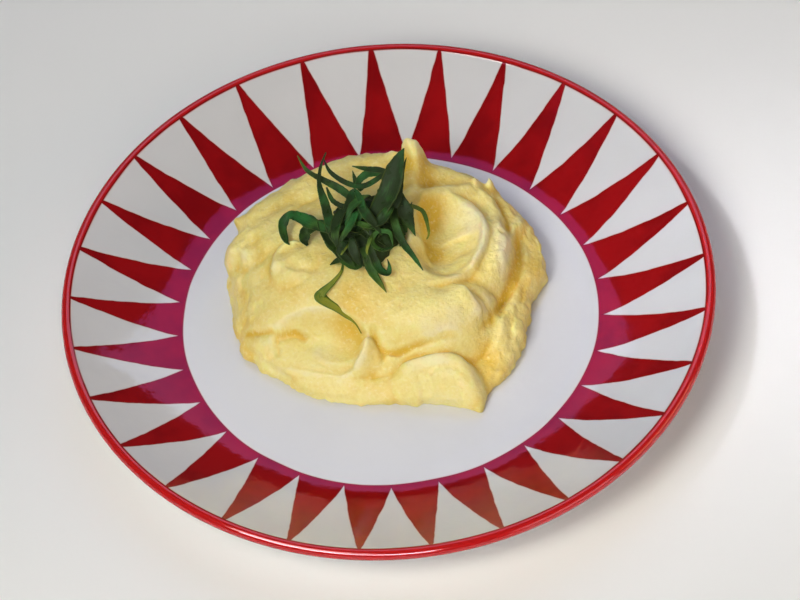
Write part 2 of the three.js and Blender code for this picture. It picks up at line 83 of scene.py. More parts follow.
# Height of the edge above the well's floor.
EDGE_HEIGHT = (
    (0, 12.5), (30, 17.5), (60, 22.5), (85, 30), (105, 27.5), (130, 22.5), (145, 24.5), (155, 23),
    (163, 21),
    (169, 18), (178, 14.5), (190, 12), (205, 9), (225, 8), (245, 8), (262, 10), (280, 10.5), (295, 9),
    (303, 7),
    (312, 8), (335, 11),
)
# How steeply it drops at the edge.
EDGE_POWER = (
    (0, 12), (40, 11), (60, 8), (120, 10), (145, 18), (165, 18), (180, 11), (205, 8), (290, 8), (330, 8),
)
# How far the dome reaches before it has come down to the edge's height.
DOME_REACH = (
    (0, 50), (30, 54), (60, 58), (100, 60), (150, 60), (180, 58), (210, 54), (240, 45), (270, 40),
    (300, 40),
    (330, 43),
)

# Folds heaped on the dome: middle x and y, half sizes, turn in degrees, top, fall, power, slope, blend.
FOLDS = {
    "front fold": (11, -9, 27, 19.5, -8, 30, 12, 3.4, 0, 2),
    "right swirl": (26, 13, 22, 24, -8, 30, 14, 3.6, 0, 2.5),
    "left swirl": (-31, 6, 11.5, 10, 10, 32, 9, 3, 0, 1.5),
    "right shelf": (42, -14, 13, 22, 12, 14, 6, 3, 0, 3),
}
# Hollows pressed into them, in the same terms.
HOLLOWS = {
    "spoon bowl": (25.5, 13, 12, 19, -8, 20.5, -8, 2.8, 0.22, 2),
    "front hollow": (-30.5, -22.5, 21, 8.5, -14, 12, -5, 4, 0, 1.5),
}
# A fold laid over the hollows.
PETALS = {"front petal": (14, -38, 18, 12.5, -10, 16, 8, 3.5, 0, 1)}

# Ridges and creases: height, width to the left, width to the right, fade at the ends, route.
STROKES = {
    "back ridge": (2.4, 5, 6, 0.15, (
        (-54, 36), (-39, 45), (-28, 48), (-13, 51), (2, 51), (10, 50), (17, 48), (22, 46), (28, 45),
        (36, 43),
        (44, 34))),
    "peak": (10.5, 4, 6, 0.36, ((10, 50), (14, 51), (19, 50.5))),
    "peak's front": (5, 3.5, 4, 0.4, ((14.5, 54), (15.5, 46), (13.5, 36), (9, 24))),
    "trough under the peak": (-2.5, 3, 3, 0.25, ((2, 35), (10, 35), (17, 37), (25, 40), (34, 42))),
    "bowl's back crest": (1.8, 1.6, 3, 0.2, ((13, 28), (19, 33), (24, 35), (30, 36), (36, 38))),
    "bowl's crease": (-2.3, 3.6, 0.9, 0.15, (
        (25, 34.5), (34, 31.5), (38.8, 21.5), (39.4, 12.2), (36, 2.6), (29, -5.6), (19.2, -10.2),
        (13, -10.5))),
    "bowl's lip": (1.6, 1.0, 4, 0.3, ((12.5, 24), (13.5, 15), (14.5, 7), (18, 1.5))),
    "bowl's inner step": (1.3, 3, 0.9, 0.35, ((18, 13), (24, 16), (30, 17), (35, 15))),
    "bowl's front slope": (2.0, 3, 4, 0.3, ((32, 8), (28, 3.5), (22, 0.5), (15, 0.5))),
    "band's crest": (1.6, 2.2, 2.5, 0.2, (
        (29, 36), (36, 38.5), (40.5, 34), (42.5, 28), (43.5, 19), (42, 10))),
    "band's crease": (-2.4, 1.5, 1.0, 0.2, ((37, 40), (42.5, 37), (45, 31), (46, 25), (45.5, 17))),
    "outer band": (2.6, 1.2, 2.5, 0.25, ((44, 42), (49.5, 37), (51.5, 31), (50.5, 24), (48.5, 17))),
    "band's shoulder": (2.0, 1.2, 3, 0.3, ((47.5, 24), (46.5, 17), (45, 10), (43, 3), (40.5, -4))),
    "shaded lobe": (-2.0, 3.5, 3.5, 0.3, ((54, 26), (55, 18), (54.5, 11), (52.5, 4))),
    "deep crease": (-3.2, 2.2, 1.3, 0.12, (
        (51.5, 28), (49.5, 20), (48.5, 11.5), (46.5, 5), (44, -1.5), (41, -7.5), (37.5, -14.5), (34, -19.5),
        (29, -23))),
    "front fold's crease": (-1.8, 0.6, 0.9, 0.15, (
        (-6.5, -22), (-4.5, -26), (-1, -28), (6, -28), (14.5, -27.5), (19, -26.5), (25, -25.5))),
    "front fold's right edge": (2.5, 0.8, 4, 0.25, (
        (22, -8), (28, -12), (31, -15.5), (32.5, -18), (32, -20.5), (28.5, -24))),
    "crease round that edge": (-1.8, 1.5, 1.5, 0.25, (
        (26, -8), (31.5, -10.5), (35, -13.5), (36.5, -17), (34.5, -21.5))),
    "petal's crest": (2.2, 1.3, 3.8, 0.12, (
        (1, -33), (6, -33), (13, -32.5), (20, -31.5), (25, -33), (29, -38), (31, -43), (31.5, -48))),
    "petal's inner groove": (-0.8, 1.3, 1.3, 0.25, (
        (4, -37.5), (10, -37), (17, -36), (22, -37), (25.5, -41), (26.5, -46))),
    "hollow's upper step": (-2.4, 0.4, 1.9, 0.12, (
        (-54, -6.5), (-50.5, -9), (-45, -11.5), (-40.5, -13.5), (-37, -13.5), (-34, -14), (-29.5, -16.5))),
    "hollow's inner line": (-1.3, 1.0, 1.3, 0.3, ((-41.5, -13), (-42, -17), (-41.5, -21))),
    "hollow's rim": (2.5, 1.3, 1.9, 0.1, (
        (-50.5, -14.5), (-48, -19), (-42, -23.5), (-34.5, -27.5), (-27.5, -30.5), (-20.5, -32.5),
        (-15.5, -32),
        (-12, -30), (-10, -27.5), (-9, -24.5))),
    "rim's inner line": (-0.9, 0.9, 1.1, 0.3, (
        (-30, -24.5), (-25.5, -27.5), (-20, -29.5), (-15.5, -29), (-13, -27))),
    "ridge beside the pit": (2.4, 2.6, 2.4, 0.2, ((-15.5, -31.5), (-12, -30), (-10, -27.5), (-9.5, -23.5))),
    "pit by the rim": (-2.4, 1.4, 1.5, 0.3, ((-7.5, -20.5), (-6.5, -24), (-4.5, -27.5), (-3, -29.5))),
    "valley by the rim": (-1.3, 2, 2, 0.3, ((-2, -28.5), (-6, -31), (-10, -34))),
    "left swirl's crest": (2.9, 2.8, 1.0, 0.2, (
        (-29, 13.5), (-33, 14), (-37, 13.5), (-39.5, 11), (-41, 7), (-40, 2.5))),
    "left swirl's fold": (-1.3, 2.2, 1.5, 0.3, ((-37, 5), (-34.5, 4), (-31, 2.5), (-27, 2), (-22.5, 3))),
    "left dip": (-2.4, 3.5, 3.5, 0.3, ((-47, 26), (-46.5, 18), (-45, 10))),
    "left ledge": (-2.6, 1.5, 2.2, 0.3, ((-61, 17), (-56, 17), (-53, 15.5), (-49.5, 12))),
    "left flank": (-1.6, 2, 2.5, 0.3, ((-58, 11), (-53, 8), (-52, 2), (-52.5, -4), (-49, -9))),
    "crease behind the swirl": (-1.3, 1.3, 3, 0.3, ((-36, 29), (-31, 31.5), (-27, 35), (-20, 36.5))),
    "trough at the left back": (-1.5, 3, 3, 0.3, ((-50, 28), (-40, 33), (-29, 36), (-15, 37))),
    "shelf's crease": (-1.2, 1.0, 1.8, 0.3, ((45, -13), (43.5, -18.5), (42, -26))),
    "shelf's groove": (-1.1, 1.2, 1.6, 0.3, ((53, 5), (49.5, -1), (48, -8))),
}

# Small peaks and pits: x, y, height, radius.
NUBS = (
    (-54.8, 37, 6, 1.5), (10, 8, 1.2, 2.6), (-26, 11, 1, 3), (36.3, 41.3, 3.6, 1.4),
    (41.2, 43.3, 8, 1.3), (6.8, 50.5, 3.2, 2.2),
    (-31, 52, 2, 1.5), (-57, 21.5, 1, 2.5), (-53.5, 18, -2.4, 1.8), (-51, 13.5, -1, 2), (-27, -2, 0.9, 4.5),
    (-48.5, -15.5, 2, 3), (-9.5, -25, 1.6, 2.2), (-25, 10.5, 1.3, 4), (43.5, 16, -1.2, 1.6),
    (-30.5, -18.5, -1, 2.5), (4, -17, -0.7, 2.2), (40, -18, 1, 5), (52, 2, 1.2, 4), (-34, -5, 0.8, 6),
    (5, -39, -0.5, 2), (21, -40, -0.6, 2.5), (13, 9.5, 4.5, 3.2), (10.3, 50.4, 3.4, 1.9),
    (18.2, 50.8, 3.2, 1.8),
)

# Spots of painted shade, where the mash is coloured a deeper yellow, and of painted light, where it is paler
# because the amount is below 0: x, y, radius, amount.
PAINTED_SHADE_AND_LIGHT = (
    (-15, -14, 8, 0.75), (-30, -8, 7, 0.35), (-6, -17, 9, 0.15), (16, -37, 13, -0.5),
    (-24, -33, 12, -0.5), (29, 21, 9, -0.75),
    (-56, 20, 9, -0.5), (41, 12, 10, -0.4), (17.5, 26, 5, 1.1), (18, 10, 5, 0.7), (14, 41, 7, 0.8),
    (-31, -19, 9, -0.4), (-24, -19, 7, -0.45), (21, 3, 5, -0.5), (35.5, -29, 4, 0.6),
    (-40, -13, 7, -0.35), (-54, 2, 8, -0.25), (38, -20, 9, -0.3), (20, -22, 10, -0.2),
)

# Long shreds from the free tip into the heap: roll about the route, tone at the tip, tone at the root, and
# a route of x, y, height above the well's floor and width. Tone 0 is dark leaf and 1 pale.
LONG_SHREDS = {
    "top left strip": (0.2, 0.34, 0.16, (
        (-28, 39.5, 50, 0.3), (-25, 34, 47.5, 1.5), (-19.5, 30, 46, 2.4), (-13.5, 25.5, 45, 3),
        (-7, 20, 42, 2.7))),
    "tall left strip": (0.3, 0.12, 0.05, (
        (-17.5, 38, 52, 0.5), (-20, 33.5, 49, 1.3), (-21, 27.5, 46.5, 1.9), (-19.5, 19.5, 44.5, 3.3),
        (-18, 10, 42, 4.4), (-16, 5.5, 40, 3.7))),
    "sagging strip": (0.25, 0, 0.04, (
        (-18.5, 38, 48, 0.4), (-16.5, 32.5, 47, 1.5), (-11, 27.5, 46, 2.1), (-5, 24.5, 47, 2.2),
        (1.5, 26.5, 49, 1.9), (4, 28.5, 50, 1.5))),
    "top strip": (0.2, 0.28, 0.1, (
        (-8.5, 32, 50, 0.3), (-3.5, 30, 50, 2), (2, 28.5, 50, 2.2), (4.5, 27, 49, 1.7))),
    "curl's spike": (0.15, 0.15, 0.1, ((-8.5, 31.5, 48, 0.2), (-7.5, 27, 46, 2.2), (-5.5, 24.5, 45, 2.6))),
    "curl": (0.4, 0.2, 0.36, (
        (-7.5, 25.5, 46, 1.8), (-6, 28, 47, 2.6), (-2.5, 29, 48.5, 3), (1.5, 27.5, 49, 1.5))),
    "blade": (0.1, 0.02, 0, (
        (11, 30.5, 59, 0.3), (9.5, 28.5, 57.5, 3.2), (6.8, 24, 54, 7.4), (4.2, 18.5, 50, 8),
        (-0.5, 12.5, 46, 7.5), (-2.5, 8.5, 43, 4))),
    "leaf behind the blade": (-0.3, 0, 0, (
        (11.5, 31, 53, 0.2), (9.5, 26, 51, 1.5), (7.5, 17.5, 48, 2.2), (5.5, 14, 46, 2.6))),
    "right leaf": (-0.15, 0.06, 0.12, (
        (12, 9, 34.5, 0.2), (10, 12.5, 40, 4.2), (9, 14.5, 43, 5.8), (6.5, 19.5, 46.5, 4),
        (4, 23, 47, 2.9))),
    "right leaf's spike": (0.2, 0.05, 0.05, (
        (12, 18.5, 42.5, 0.2), (11, 16, 42.5, 0.9), (10, 14, 42, 1.7))),
    "thin arc": (0.2, 0.7, 0.5, (
        (16, 11, 29.5, 0.4), (17, 13, 31, 0.9), (16, 16.5, 37, 1.9), (13.5, 17.5, 40, 2.4),
        (7.5, 17, 44, 2.5))),
    "right strip": (0, 0.36, 0, (
        (13.5, -4.5, 31, 0.3), (10.5, -0.5, 34.5, 2.1), (7, 3.5, 38.5, 2.9), (5, 9.5, 42.5, 3.3),
        (5, 17.5, 45, 2.3), (5, 21.5, 46, 1.9))),
    "left arm": (0.45, 0.2, 0.22, (
        (-34, 12, 33, 0.4), (-35.5, 14, 33.5, 2.5), (-36, 19.5, 35, 3.6), (-33, 22, 37.5, 3.1),
        (-28.5, 18, 40, 4.3), (-26, 15.5, 40.5, 5.2), (-21.5, 11.5, 41.5, 3.4), (-18.5, 9.5, 42, 3.2))),
    "left lobe": (0.2, 0.16, 0.2, (
        (-27.5, 9.5, 34.5, 1.1), (-28.5, 11.5, 35.5, 3.5), (-27, 14.5, 37, 4.8), (-22, 14, 40, 3.9),
        (-19, 12, 41, 3.3))),
    "broad left leaf": (0.05, 0.14, 0.08, (
        (-15.5, -1.5, 36, 0.6), (-16, 1.5, 37.5, 3.5), (-18.5, 6.5, 39, 5.5), (-21.5, 12.5, 41, 3.4),
        (-22, 14.5, 42, 2.2))),
    "bottom left tip": (0.15, 0.3, 0.15, ((-20, -1, 35, 0.3), (-16.5, 0, 36, 2.7), (-14, -1, 37, 2.5))),
    "bottom leaf": (0.05, 0.26, 0.2, (
        (-16, -1, 36.5, 1.3), (-11, -3.5, 36, 3.9), (-8.5, -3, 37, 3.1), (-6.5, -1.5, 38.5, 2.1))),
    "tongue": (0.1, 0.62, 0.16, (
        (-0.5, -13, 31, 0.2), (-2, -10.5, 32, 1.6), (-5, -6, 35, 3.6), (-6.5, -1.5, 39, 3.6),
        (-7.5, 1, 41, 3))),
    "hook": (0.2, 0.24, 0.08, (
        (1, -2.5, 37, 0.3), (1.5, -5, 35.5, 1.4), (0.5, -7, 34, 3), (-2.5, -5, 35, 3.5),
        (-4.5, -0.5, 39.5, 3.4),
        (-5.5, 2.5, 41.5, 2.3))),
    "ring": (0.5, 0.3, 0.36, (
        (3.5, -0.5, 41.5, 1.2), (2, -1.5, 41.5, 2.4), (-0.5, -1.5, 41, 2.8), (-3, 0, 41.5, 2.6),
        (-4, 3, 42, 2),
        (-2, 5.5, 43, 1.7), (0.5, 5.5, 43.5, 1.7), (3, 4, 43.5, 1.6), (3.5, -0.5, 42, 0.4))),
    "bar above the ring": (0.15, 0.4, 0.3, (
        (-11, 11, 43, 0.4), (-8.5, 9, 45, 2.2), (-5.5, 7.5, 45, 2.4), (-2.5, 7, 44, 2), (0.5, 6, 42, 0.4))),
    "pale upper leaf": (0, 0.42, 0.3, (
        (-3.5, 21, 45.5, 0.4), (-5.5, 19, 47.5, 2), (-8.5, 16, 48, 3.2), (-11, 13.5, 47, 2.4),
        (-13, 10, 43.5, 0.6))),
    "middle leaf": (0.2, 0.3, 0.2, (
        (-7.5, 15.5, 44.5, 0.5), (-9, 11.5, 47, 2.8), (-11.5, 7, 46, 3.3), (-14.5, 4, 43.5, 2.1),
        (-16.5, 2, 40.5, 0.4))),
    "yellow chip": (0.15, 0.75, 0.75, (
        (-13, 1.5, 44, 0.6), (-13.5, -0.5, 44, 1.7), (-15.5, -2.5, 42, 0.6))),
    "yellow strip": (0.15, 0.7, 0.6, (
        (-3.5, 5.5, 41.5, 0.4), (-4.5, 3, 42.5, 1.4), (-6, -0.5, 41, 1.1), (-6, -2, 40, 0.3))),
    "dark front leaf": (0.15, 0.05, 0, (
        (-10.5, 4.5, 43, 0.6), (-11, 1.5, 45.5, 1.8), (-11, -1, 44.5, 3.2), (-10.5, -3.5, 42.5, 3.2),
        (-9.5, -5.5, 39, 0.5))),
    "dark middle leaf": (0, 0, 0.05, (
        (-8, 18, 45, 0.5), (-6.5, 14, 48, 3), (-4.5, 9.5, 47.5, 4), (-2.5, 7, 46, 2.6),
        (0, 4.5, 42.5, 0.5))),
    "blade's foot": (0, 0.2, 0.12, (
        (5.5, 15.5, 45.5, 0.5), (3, 11.5, 47.5, 3.5), (0, 8.5, 46, 4.7), (-4.5, 8, 44, 2.7),
        (-8, 7.5, 41, 0.5))),
    "left middle leaf": (0.2, 0.06, 0.14, (
        (-11, 18.5, 44, 0.4), (-13.5, 14, 46.5, 3), (-16, 10, 45.5, 4), (-17, 5.5, 44, 3),
        (-16.5, 1.5, 40.5, 0.5))),
    "upper dark leaf": (0.15, 0.03, 0.1, (
        (-9, 26, 44, 0.4), (-9.5, 22, 47, 2.8), (-10.5, 18, 47, 3.4), (-12.5, 13.5, 46, 2.7),
        (-15, 10.5, 42.5, 0.6))),
    "window's right leaf": (0.2, 0.16, 0.12, (
        (-8.5, 25.5, 45, 0.5), (-7.5, 20.5, 48, 2), (-6.5, 16.5, 48, 2.8), (-6.5, 12.5, 47.5, 2.6),
        (-8.5, 9, 44, 0.5))),
    "window's lower strip": (0.2, 0.05, 0.05, (
        (-18.5, 26, 46.5, 0.7), (-17, 20.5, 46, 1.8), (-14.5, 17.5, 46, 2), (-12, 16.5, 45.5, 2))),
    "lower dark leaf": (0.15, 0.08, 0.12, (
        (-11.5, 3, 43, 0.4), (-14, 0.5, 44.5, 2.8), (-15.5, -1, 42, 3.4), (-13, -3, 39, 2.8),
        (-11, -4.5, 37, 0.4))),
}
# The loose shred down the front: x, y and width.
LOOSE_SHRED = (
    (-15, 2, 0.5), (-16, -2.5, 1.1), (-19.5, -6, 2.1), (-23.5, -8.5, 3.6), (-24.5, -10, 4.6),
    (-21.5, -13, 3.7),
    (-17, -16, 2.5), (-13, -19, 0.7), (-11, -22, 0.3),
)
HEAP_CENTRE = (-6.0, 12.5)
HEAP_CORE = (12.5, 13.5, 8.0, 35)  # half sizes, and its middle's height above the well's floor

# Steps along the routes of strokes, long shreds and the loose shred, and points along the other shreds.
STROKE_STEPS, LONG_STEPS, LOOSE_STEPS, SMALL_POINTS = 32, 44, 60, 26

# The brush's drift round the rim: size in degrees and phase, for one to four waves a turn.
TOOTH_DRIFT = ((1.2, 10), (0.9, 190), (0.4, 45), (0.25, 270))
PLATE_SIDES = 288

# Lamps, in metres and watts: place, size, power, colour, what they point at, spread in degrees, and the kind
# of ray that doesn't see them.
LAMPS = {
    "soft_key": ((-0.50, -0.60, 0.98), (0.6, 0.6), 1.46, (1.0, 0.98, 0.88), (0.1, -0.01, 0), 60, None),
    "front_strip": ((0.0, -1.05, 0.8), (0.3, 0.5), 1.9, (1.0, 0.99, 0.95), (0, 0, 0.02), 180, None),
    "right_low": ((1.4, -0.2, 0.5), (0.8, 0.6), 3.1, (1.0, 0.72, 0.40), (0, 0, 0.03), 180, None),
    "front_right_low": ((1.0, -1.0, 0.5), (0.8, 0.6), 2.9, (1.0, 0.90, 0.86), (0, 0, 0.03), 180, None),
    "right_glow": (
        (-0.5, 0.05, 0.9), (0.14, 0.14), 0.028, (0.94, 0.97, 1.05), (0.16, 0, 0.015), 12, "glossy"),
    "bead_glint": ((-0.42, -1.0, 0.85), (1.2, 0.2), 16, (1.0, 1.0, 1.0), (0, 0, 0.02), 180, "diffuse"),
    "back_window": ((0.14, 1.2, 2.04), (1.5, 2.52), 12, (0.90, 1.0, 1.36), (0.14, 0, 2.04), 180, None),
}


class PlateSizes(bpy.types.PropertyGroup):
    """Sizes and colours of the plate, in millimetres"""

    radius: FloatProperty(name="Radius", description="Plate's outer radius in mm", default=120.0, min=60.0)
    well_radius: FloatProperty(
        name="Well radius", description="Radius of the flat floor in mm", default=77.0)
    floor_top: FloatProperty(
        name="Floor height", description="Height of the well's floor in mm", default=5.5)
    rim_power: FloatProperty(name="Rim power", description="How much the rim steepens outwards", default=1.4)
    bead_radius: FloatProperty(
        name="Edge radius", description="Radius of the rounded edge in mm", default=2.3)
    teeth: IntProperty(name="Teeth", description="Number of painted teeth", default=29, min=3)
    tooth_phase: FloatProperty(
        name="Tooth phase", description="Azimuth of the first tooth in degrees", default=13.1)
    white: FloatVectorProperty(
        name="White glaze", description="Colour of bare glaze", subtype="COLOR", default=(0.70, 0.70, 0.73))
    red: FloatVectorProperty(
        name="Red paint", description="Colour of the teeth", subtype="COLOR", default=(0.33, 0.006, 0.006))


class MashSizes(bpy.types.PropertyGroup):
    """Sizes and colours of the mashed potato, in millimetres"""

    dome_top: FloatProperty(
        name="Dome height", description="Height of the dome under the folds", default=34.0)
    dome_power: FloatProperty(name="Dome power", description="How flat the dome is on top", default=2.2)
    grain: FloatProperty(name="Grain", description="Depth of the surface's grain in mm", default=0.2)
    sides: IntProperty(name="Sides", description="Points round the heap", default=440)
    rings: IntProperty(name="Rings", description="Points from the middle to the edge", default=205)
    pale: FloatVectorProperty(
        name="Pale mash", description="Colour of the crests", subtype="COLOR", default=(0.87, 0.755, 0.29))
    # The colour in the creases is painted shade.
    crease_shade_colour: FloatVectorProperty(
        name="Deep mash", description="Colour in the creases", subtype="COLOR", default=(0.76, 0.50, 0.05))


class OnionSizes(bpy.types.PropertyGroup):
    """Sizes and colours of the spring onion, in millimetres"""

    thickness: FloatProperty(name="Thickness", description="Thickness of a shred in mm", default=0.55)
    small_count: IntProperty(name="Small shreds", description="Number of small curled shreds", default=40)
    draped_count: IntProperty(
        name="Draped shreds", description="Number of shreds down the back and sides", default=34)
    seed: IntProperty(name="Seed", description="Seed of the small shreds' places", default=7)
    dark: FloatVectorProperty(
        name="Dark leaf", description="Colour of dark leaf", subtype="COLOR", default=(0.018, 0.036, 0.009))
    middle: FloatVectorProperty(
        name="Green leaf", description="Colour in between", subtype="COLOR", default=(0.058, 0.135, 0.020))
    light: FloatVectorProperty(
        name="Light leaf", description="Colour of pale leaf", subtype="COLOR", default=(0.29, 0.30, 0.028))


class StageSizes(bpy.types.PropertyGroup):
    """Floor, lights and camera"""

    distance: FloatProperty(
        name="Camera distance", description="Camera to plate", default=2.194, unit="LENGTH")
    elevation: FloatProperty(
        name="Elevation", description="Camera above the table", default=math.radians(51.34), subtype="ANGLE")
    roll: FloatProperty(
        name="Roll", description="Camera's roll", default=math.radians(-5.6), subtype="ANGLE")
    focal: FloatProperty(name="Focal length", description="Lens in mm on a 36 mm sensor", default=270.0)


# ---- Shapes worked out as whole arrays ----


def cubic(a, b, c, d, t):
    """Catmull-Rom curve between b and c: passes through both, with slopes from their neighbours."""
    square = 2 * a - 5 * b + 4 * c - d
    cube = 3 * b - a - 3 * c + d
    return 0.5 * (2 * b + (c - a) * t + square * t**2 + cube * t**3)


def all_round(azimuth, pairs):
    """A value that varies smoothly all round, through azimuth and value pairs, azimuths in degrees."""
    starts, values = np.array(pairs, float).T
    count = len(starts)
    turn = np.mod(azimuth, 360.0)
    i = np.searchsorted(starts, turn, side="right") - 1
    start = starts[i]
    span = np.mod(starts[(i + 1) % count] - start, 360.0)
    t = np.mod(turn - start, 360.0) / span
    return cubic(values[i - 1], values[i], values[(i + 1) % count], values[(i + 2) % count], t)


def smooth_route(route, steps):
    """Points at even steps of the parameter along a Catmull-Rom curve through the route."""
    points = np.array(route, float)
    place = np.linspace(0, len(points) - 1, steps + 1)
    i = np.minimum(place.astype(int), len(points) - 2)
    near = [points[np.clip(i + offset, 0, len(points) - 1)] for offset in (-1, 0, 1, 2)]
    return cubic(*near, (place - i)[:, None])


def smooth_step(value, low, high):
    """0 below low, 1 above high, and an eased cubic between them."""
    t = np.clip((value - low) / (high - low), 0, 1)
    return t * t * (3 - 2 * t)


def smooth_max(a, b, blend):
    """The larger of two heights, plus a rounded fillet where they are within the blend of each other."""
    near = np.maximum(blend - np.abs(a - b), 0) / blend
    return np.maximum(a, b) + near * near * blend * 0.25


# Large odd numbers that scramble a lattice corner's whole-number place and the seed into a random value.
CORNER_FACTORS = (73856093, 19349663, 83492791)
SEED_FACTOR = 2654435761
SCRAMBLE = 1274126177
LOW_WORD, LOW_HALF = 0xFFFFFFFF, 0xFFFF


def lattice_noise(points, cell, seed):
    """Smooth noise from -1 to 1: a random value at each corner of a cubic lattice, eased between corners."""
    place = np.asarray(points, float) / cell
    corner = np.floor(place).astype(np.int64)
    t = place - corner
    t = t * t * (3 - 2 * t)
    total = np.zeros(place.shape[:-1])
    for offset in np.ndindex(2, 2, 2):
        i, j, k = np.moveaxis((corner + offset) * CORNER_FACTORS, -1, 0)
        mixed = i ^ j ^ k ^ (seed * SEED_FACTOR)
        mixed = (mixed ^ (mixed >> 13)) * SCRAMBLE & LOW_WORD
        mixed = (mixed ^ (mixed >> 16)) & LOW_HALF
        weight = np.prod(np.where(np.array(offset) == 1, t, 1 - t), axis=-1)
        total += weight * (mixed / (LOW_HALF / 2) - 1)
    return total


def fold_height(x, y, fold):
    """A fold's top, less its fall times the distance from its middle, in half sizes, to a power."""
    cx, cy, rx, ry, turn, top, fall, power, slope, _ = fold
    cos, sin = math.cos(math.radians(turn)), math.sin(math.radians(turn))
    along = ((x - cx) * cos + (y - cy) * sin) / rx
    across = ((y - cy) * cos - (x - cx) * sin) / ry
    return top + slope * (x - cx) - fall * np.hypot(along, across) ** power


def stroke_height(x, y, stroke):
    """A ridge or crease: a bell across the nearest point of its route, that fades out at both ends."""
    height, left, right, fade, route = stroke
    points = smooth_route(route, STROKE_STEPS)
    nearest = np.full(x.shape, np.inf)
    place = np.zeros(x.shape)
    side = np.ones(x.shape)
    steps = len(points) - 1
    for i, ((ax, ay), (bx, by)) in enumerate(zip(points[:-1], points[1:])):
        dx, dy = bx - ax, by - ay
        t = np.clip(((x - ax) * dx + (y - ay) * dy) / (dx * dx + dy * dy), 0, 1)
        away = np.hypot(x - ax - t * dx, y - ay - t * dy)
        closer = away < nearest
        nearest = np.where(closer, away, nearest)
        place = np.where(closer, (i + t) / steps, place)
        side = np.where(closer, dx * (y - ay) - dy * (x - ax), side)
    ends = smooth_step(np.minimum(place, 1 - place), 0, fade)
    return height * ends * np.exp(-((nearest / np.where(side > 0, left, right)) ** 2))


def mash_height(x, y, sizes):
    """Height above the well's floor: a dome, the folds on it, the hollows in it, then strokes and nubs."""
    azimuth = np.degrees(np.arctan2(y - MASH_CENTRE[1], x - MASH_CENTRE[0]))
    edge = all_round(azimuth, EDGE_HEIGHT)
    outwards = np.hypot(x - MASH_CENTRE[0], y - MASH_CENTRE[1]) / all_round(azimuth, DOME_REACH)
    z = edge + (sizes.dome_top - edge) * np.maximum(1 - outwards**sizes.dome_power, 0)
    for fold in FOLDS.values():
        z = smooth_max(z, fold_height(x, y, fold), fold[-1])
    for hollow in HOLLOWS.values():
        z = -smooth_max(-z, -fold_height(x, y, hollow), hollow[-1])
    for petal in PETALS.values():
        z = smooth_max(z, fold_height(x, y, petal), petal[-1])
    for stroke in STROKES.values():
        z = z + stroke_height(x, y, stroke)
    for cx, cy, height, radius in NUBS:
        z = z + height * np.exp(-((x - cx) ** 2 + (y - cy) ** 2) / radius**2)
    return z


def grid_faces(rows, columns):
    """Quads between neighbours of a grid stored row by row, where the last column joins the first."""
    i, j = np.meshgrid(np.arange(rows - 1), np.arange(columns), indexing="ij")
    after = (j + 1) % columns
    row, next_row = i * columns, (i + 1) * columns
    return np.stack([row + j, row + after, next_row + after, next_row + j], -1).reshape(-1, 4)


def closed_tube(rings):
    """Points and faces of rings joined in a row, with the first and last closed by a fan to their middle."""
    rows, columns, _ = rings.shape
    points = np.vstack([rings.reshape(-1, 3), rings[0].mean(0), rings[-1].mean(0)])
    j = np.arange(columns)
    after = (j + 1) % columns
    first_middle = np.full(columns, rows * columns)
    last_middle = first_middle + 1
    end = (rows - 1) * columns
    first_fan = np.stack([after, j, first_middle], -1)
    last_fan = np.stack([end + j, end + after, last_middle], -1)
    return points, [*grid_faces(rows, columns).tolist(), *first_fan.tolist(), *last_fan.tolist()]


def new_piece(name, points, faces, material, nodes, marks):
    """Adds a smooth mesh from points in mm that rides on the body and stands for its CAD nodes."""
    mesh = bpy.data.meshes.new(name)
    mesh.from_pydata(np.asarray(points) * MM, [], faces)
    mesh.polygons.foreach_set("use_smooth", np.ones(len(mesh.polygons), bool))
    for label, values in marks.items():
        layer = mesh.attributes.new(label, "FLOAT", "POINT")
        layer.data.foreach_set("value", np.asarray(values, np.float32))
    mesh.materials.append(material)
    mesh.update()
    piece = bpy.data.objects.new(name, mesh)
    bpy.context.scene.collection.objects.link(piece)
    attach(piece, BODY)
    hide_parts(*nodes)


# ---- Materials ----


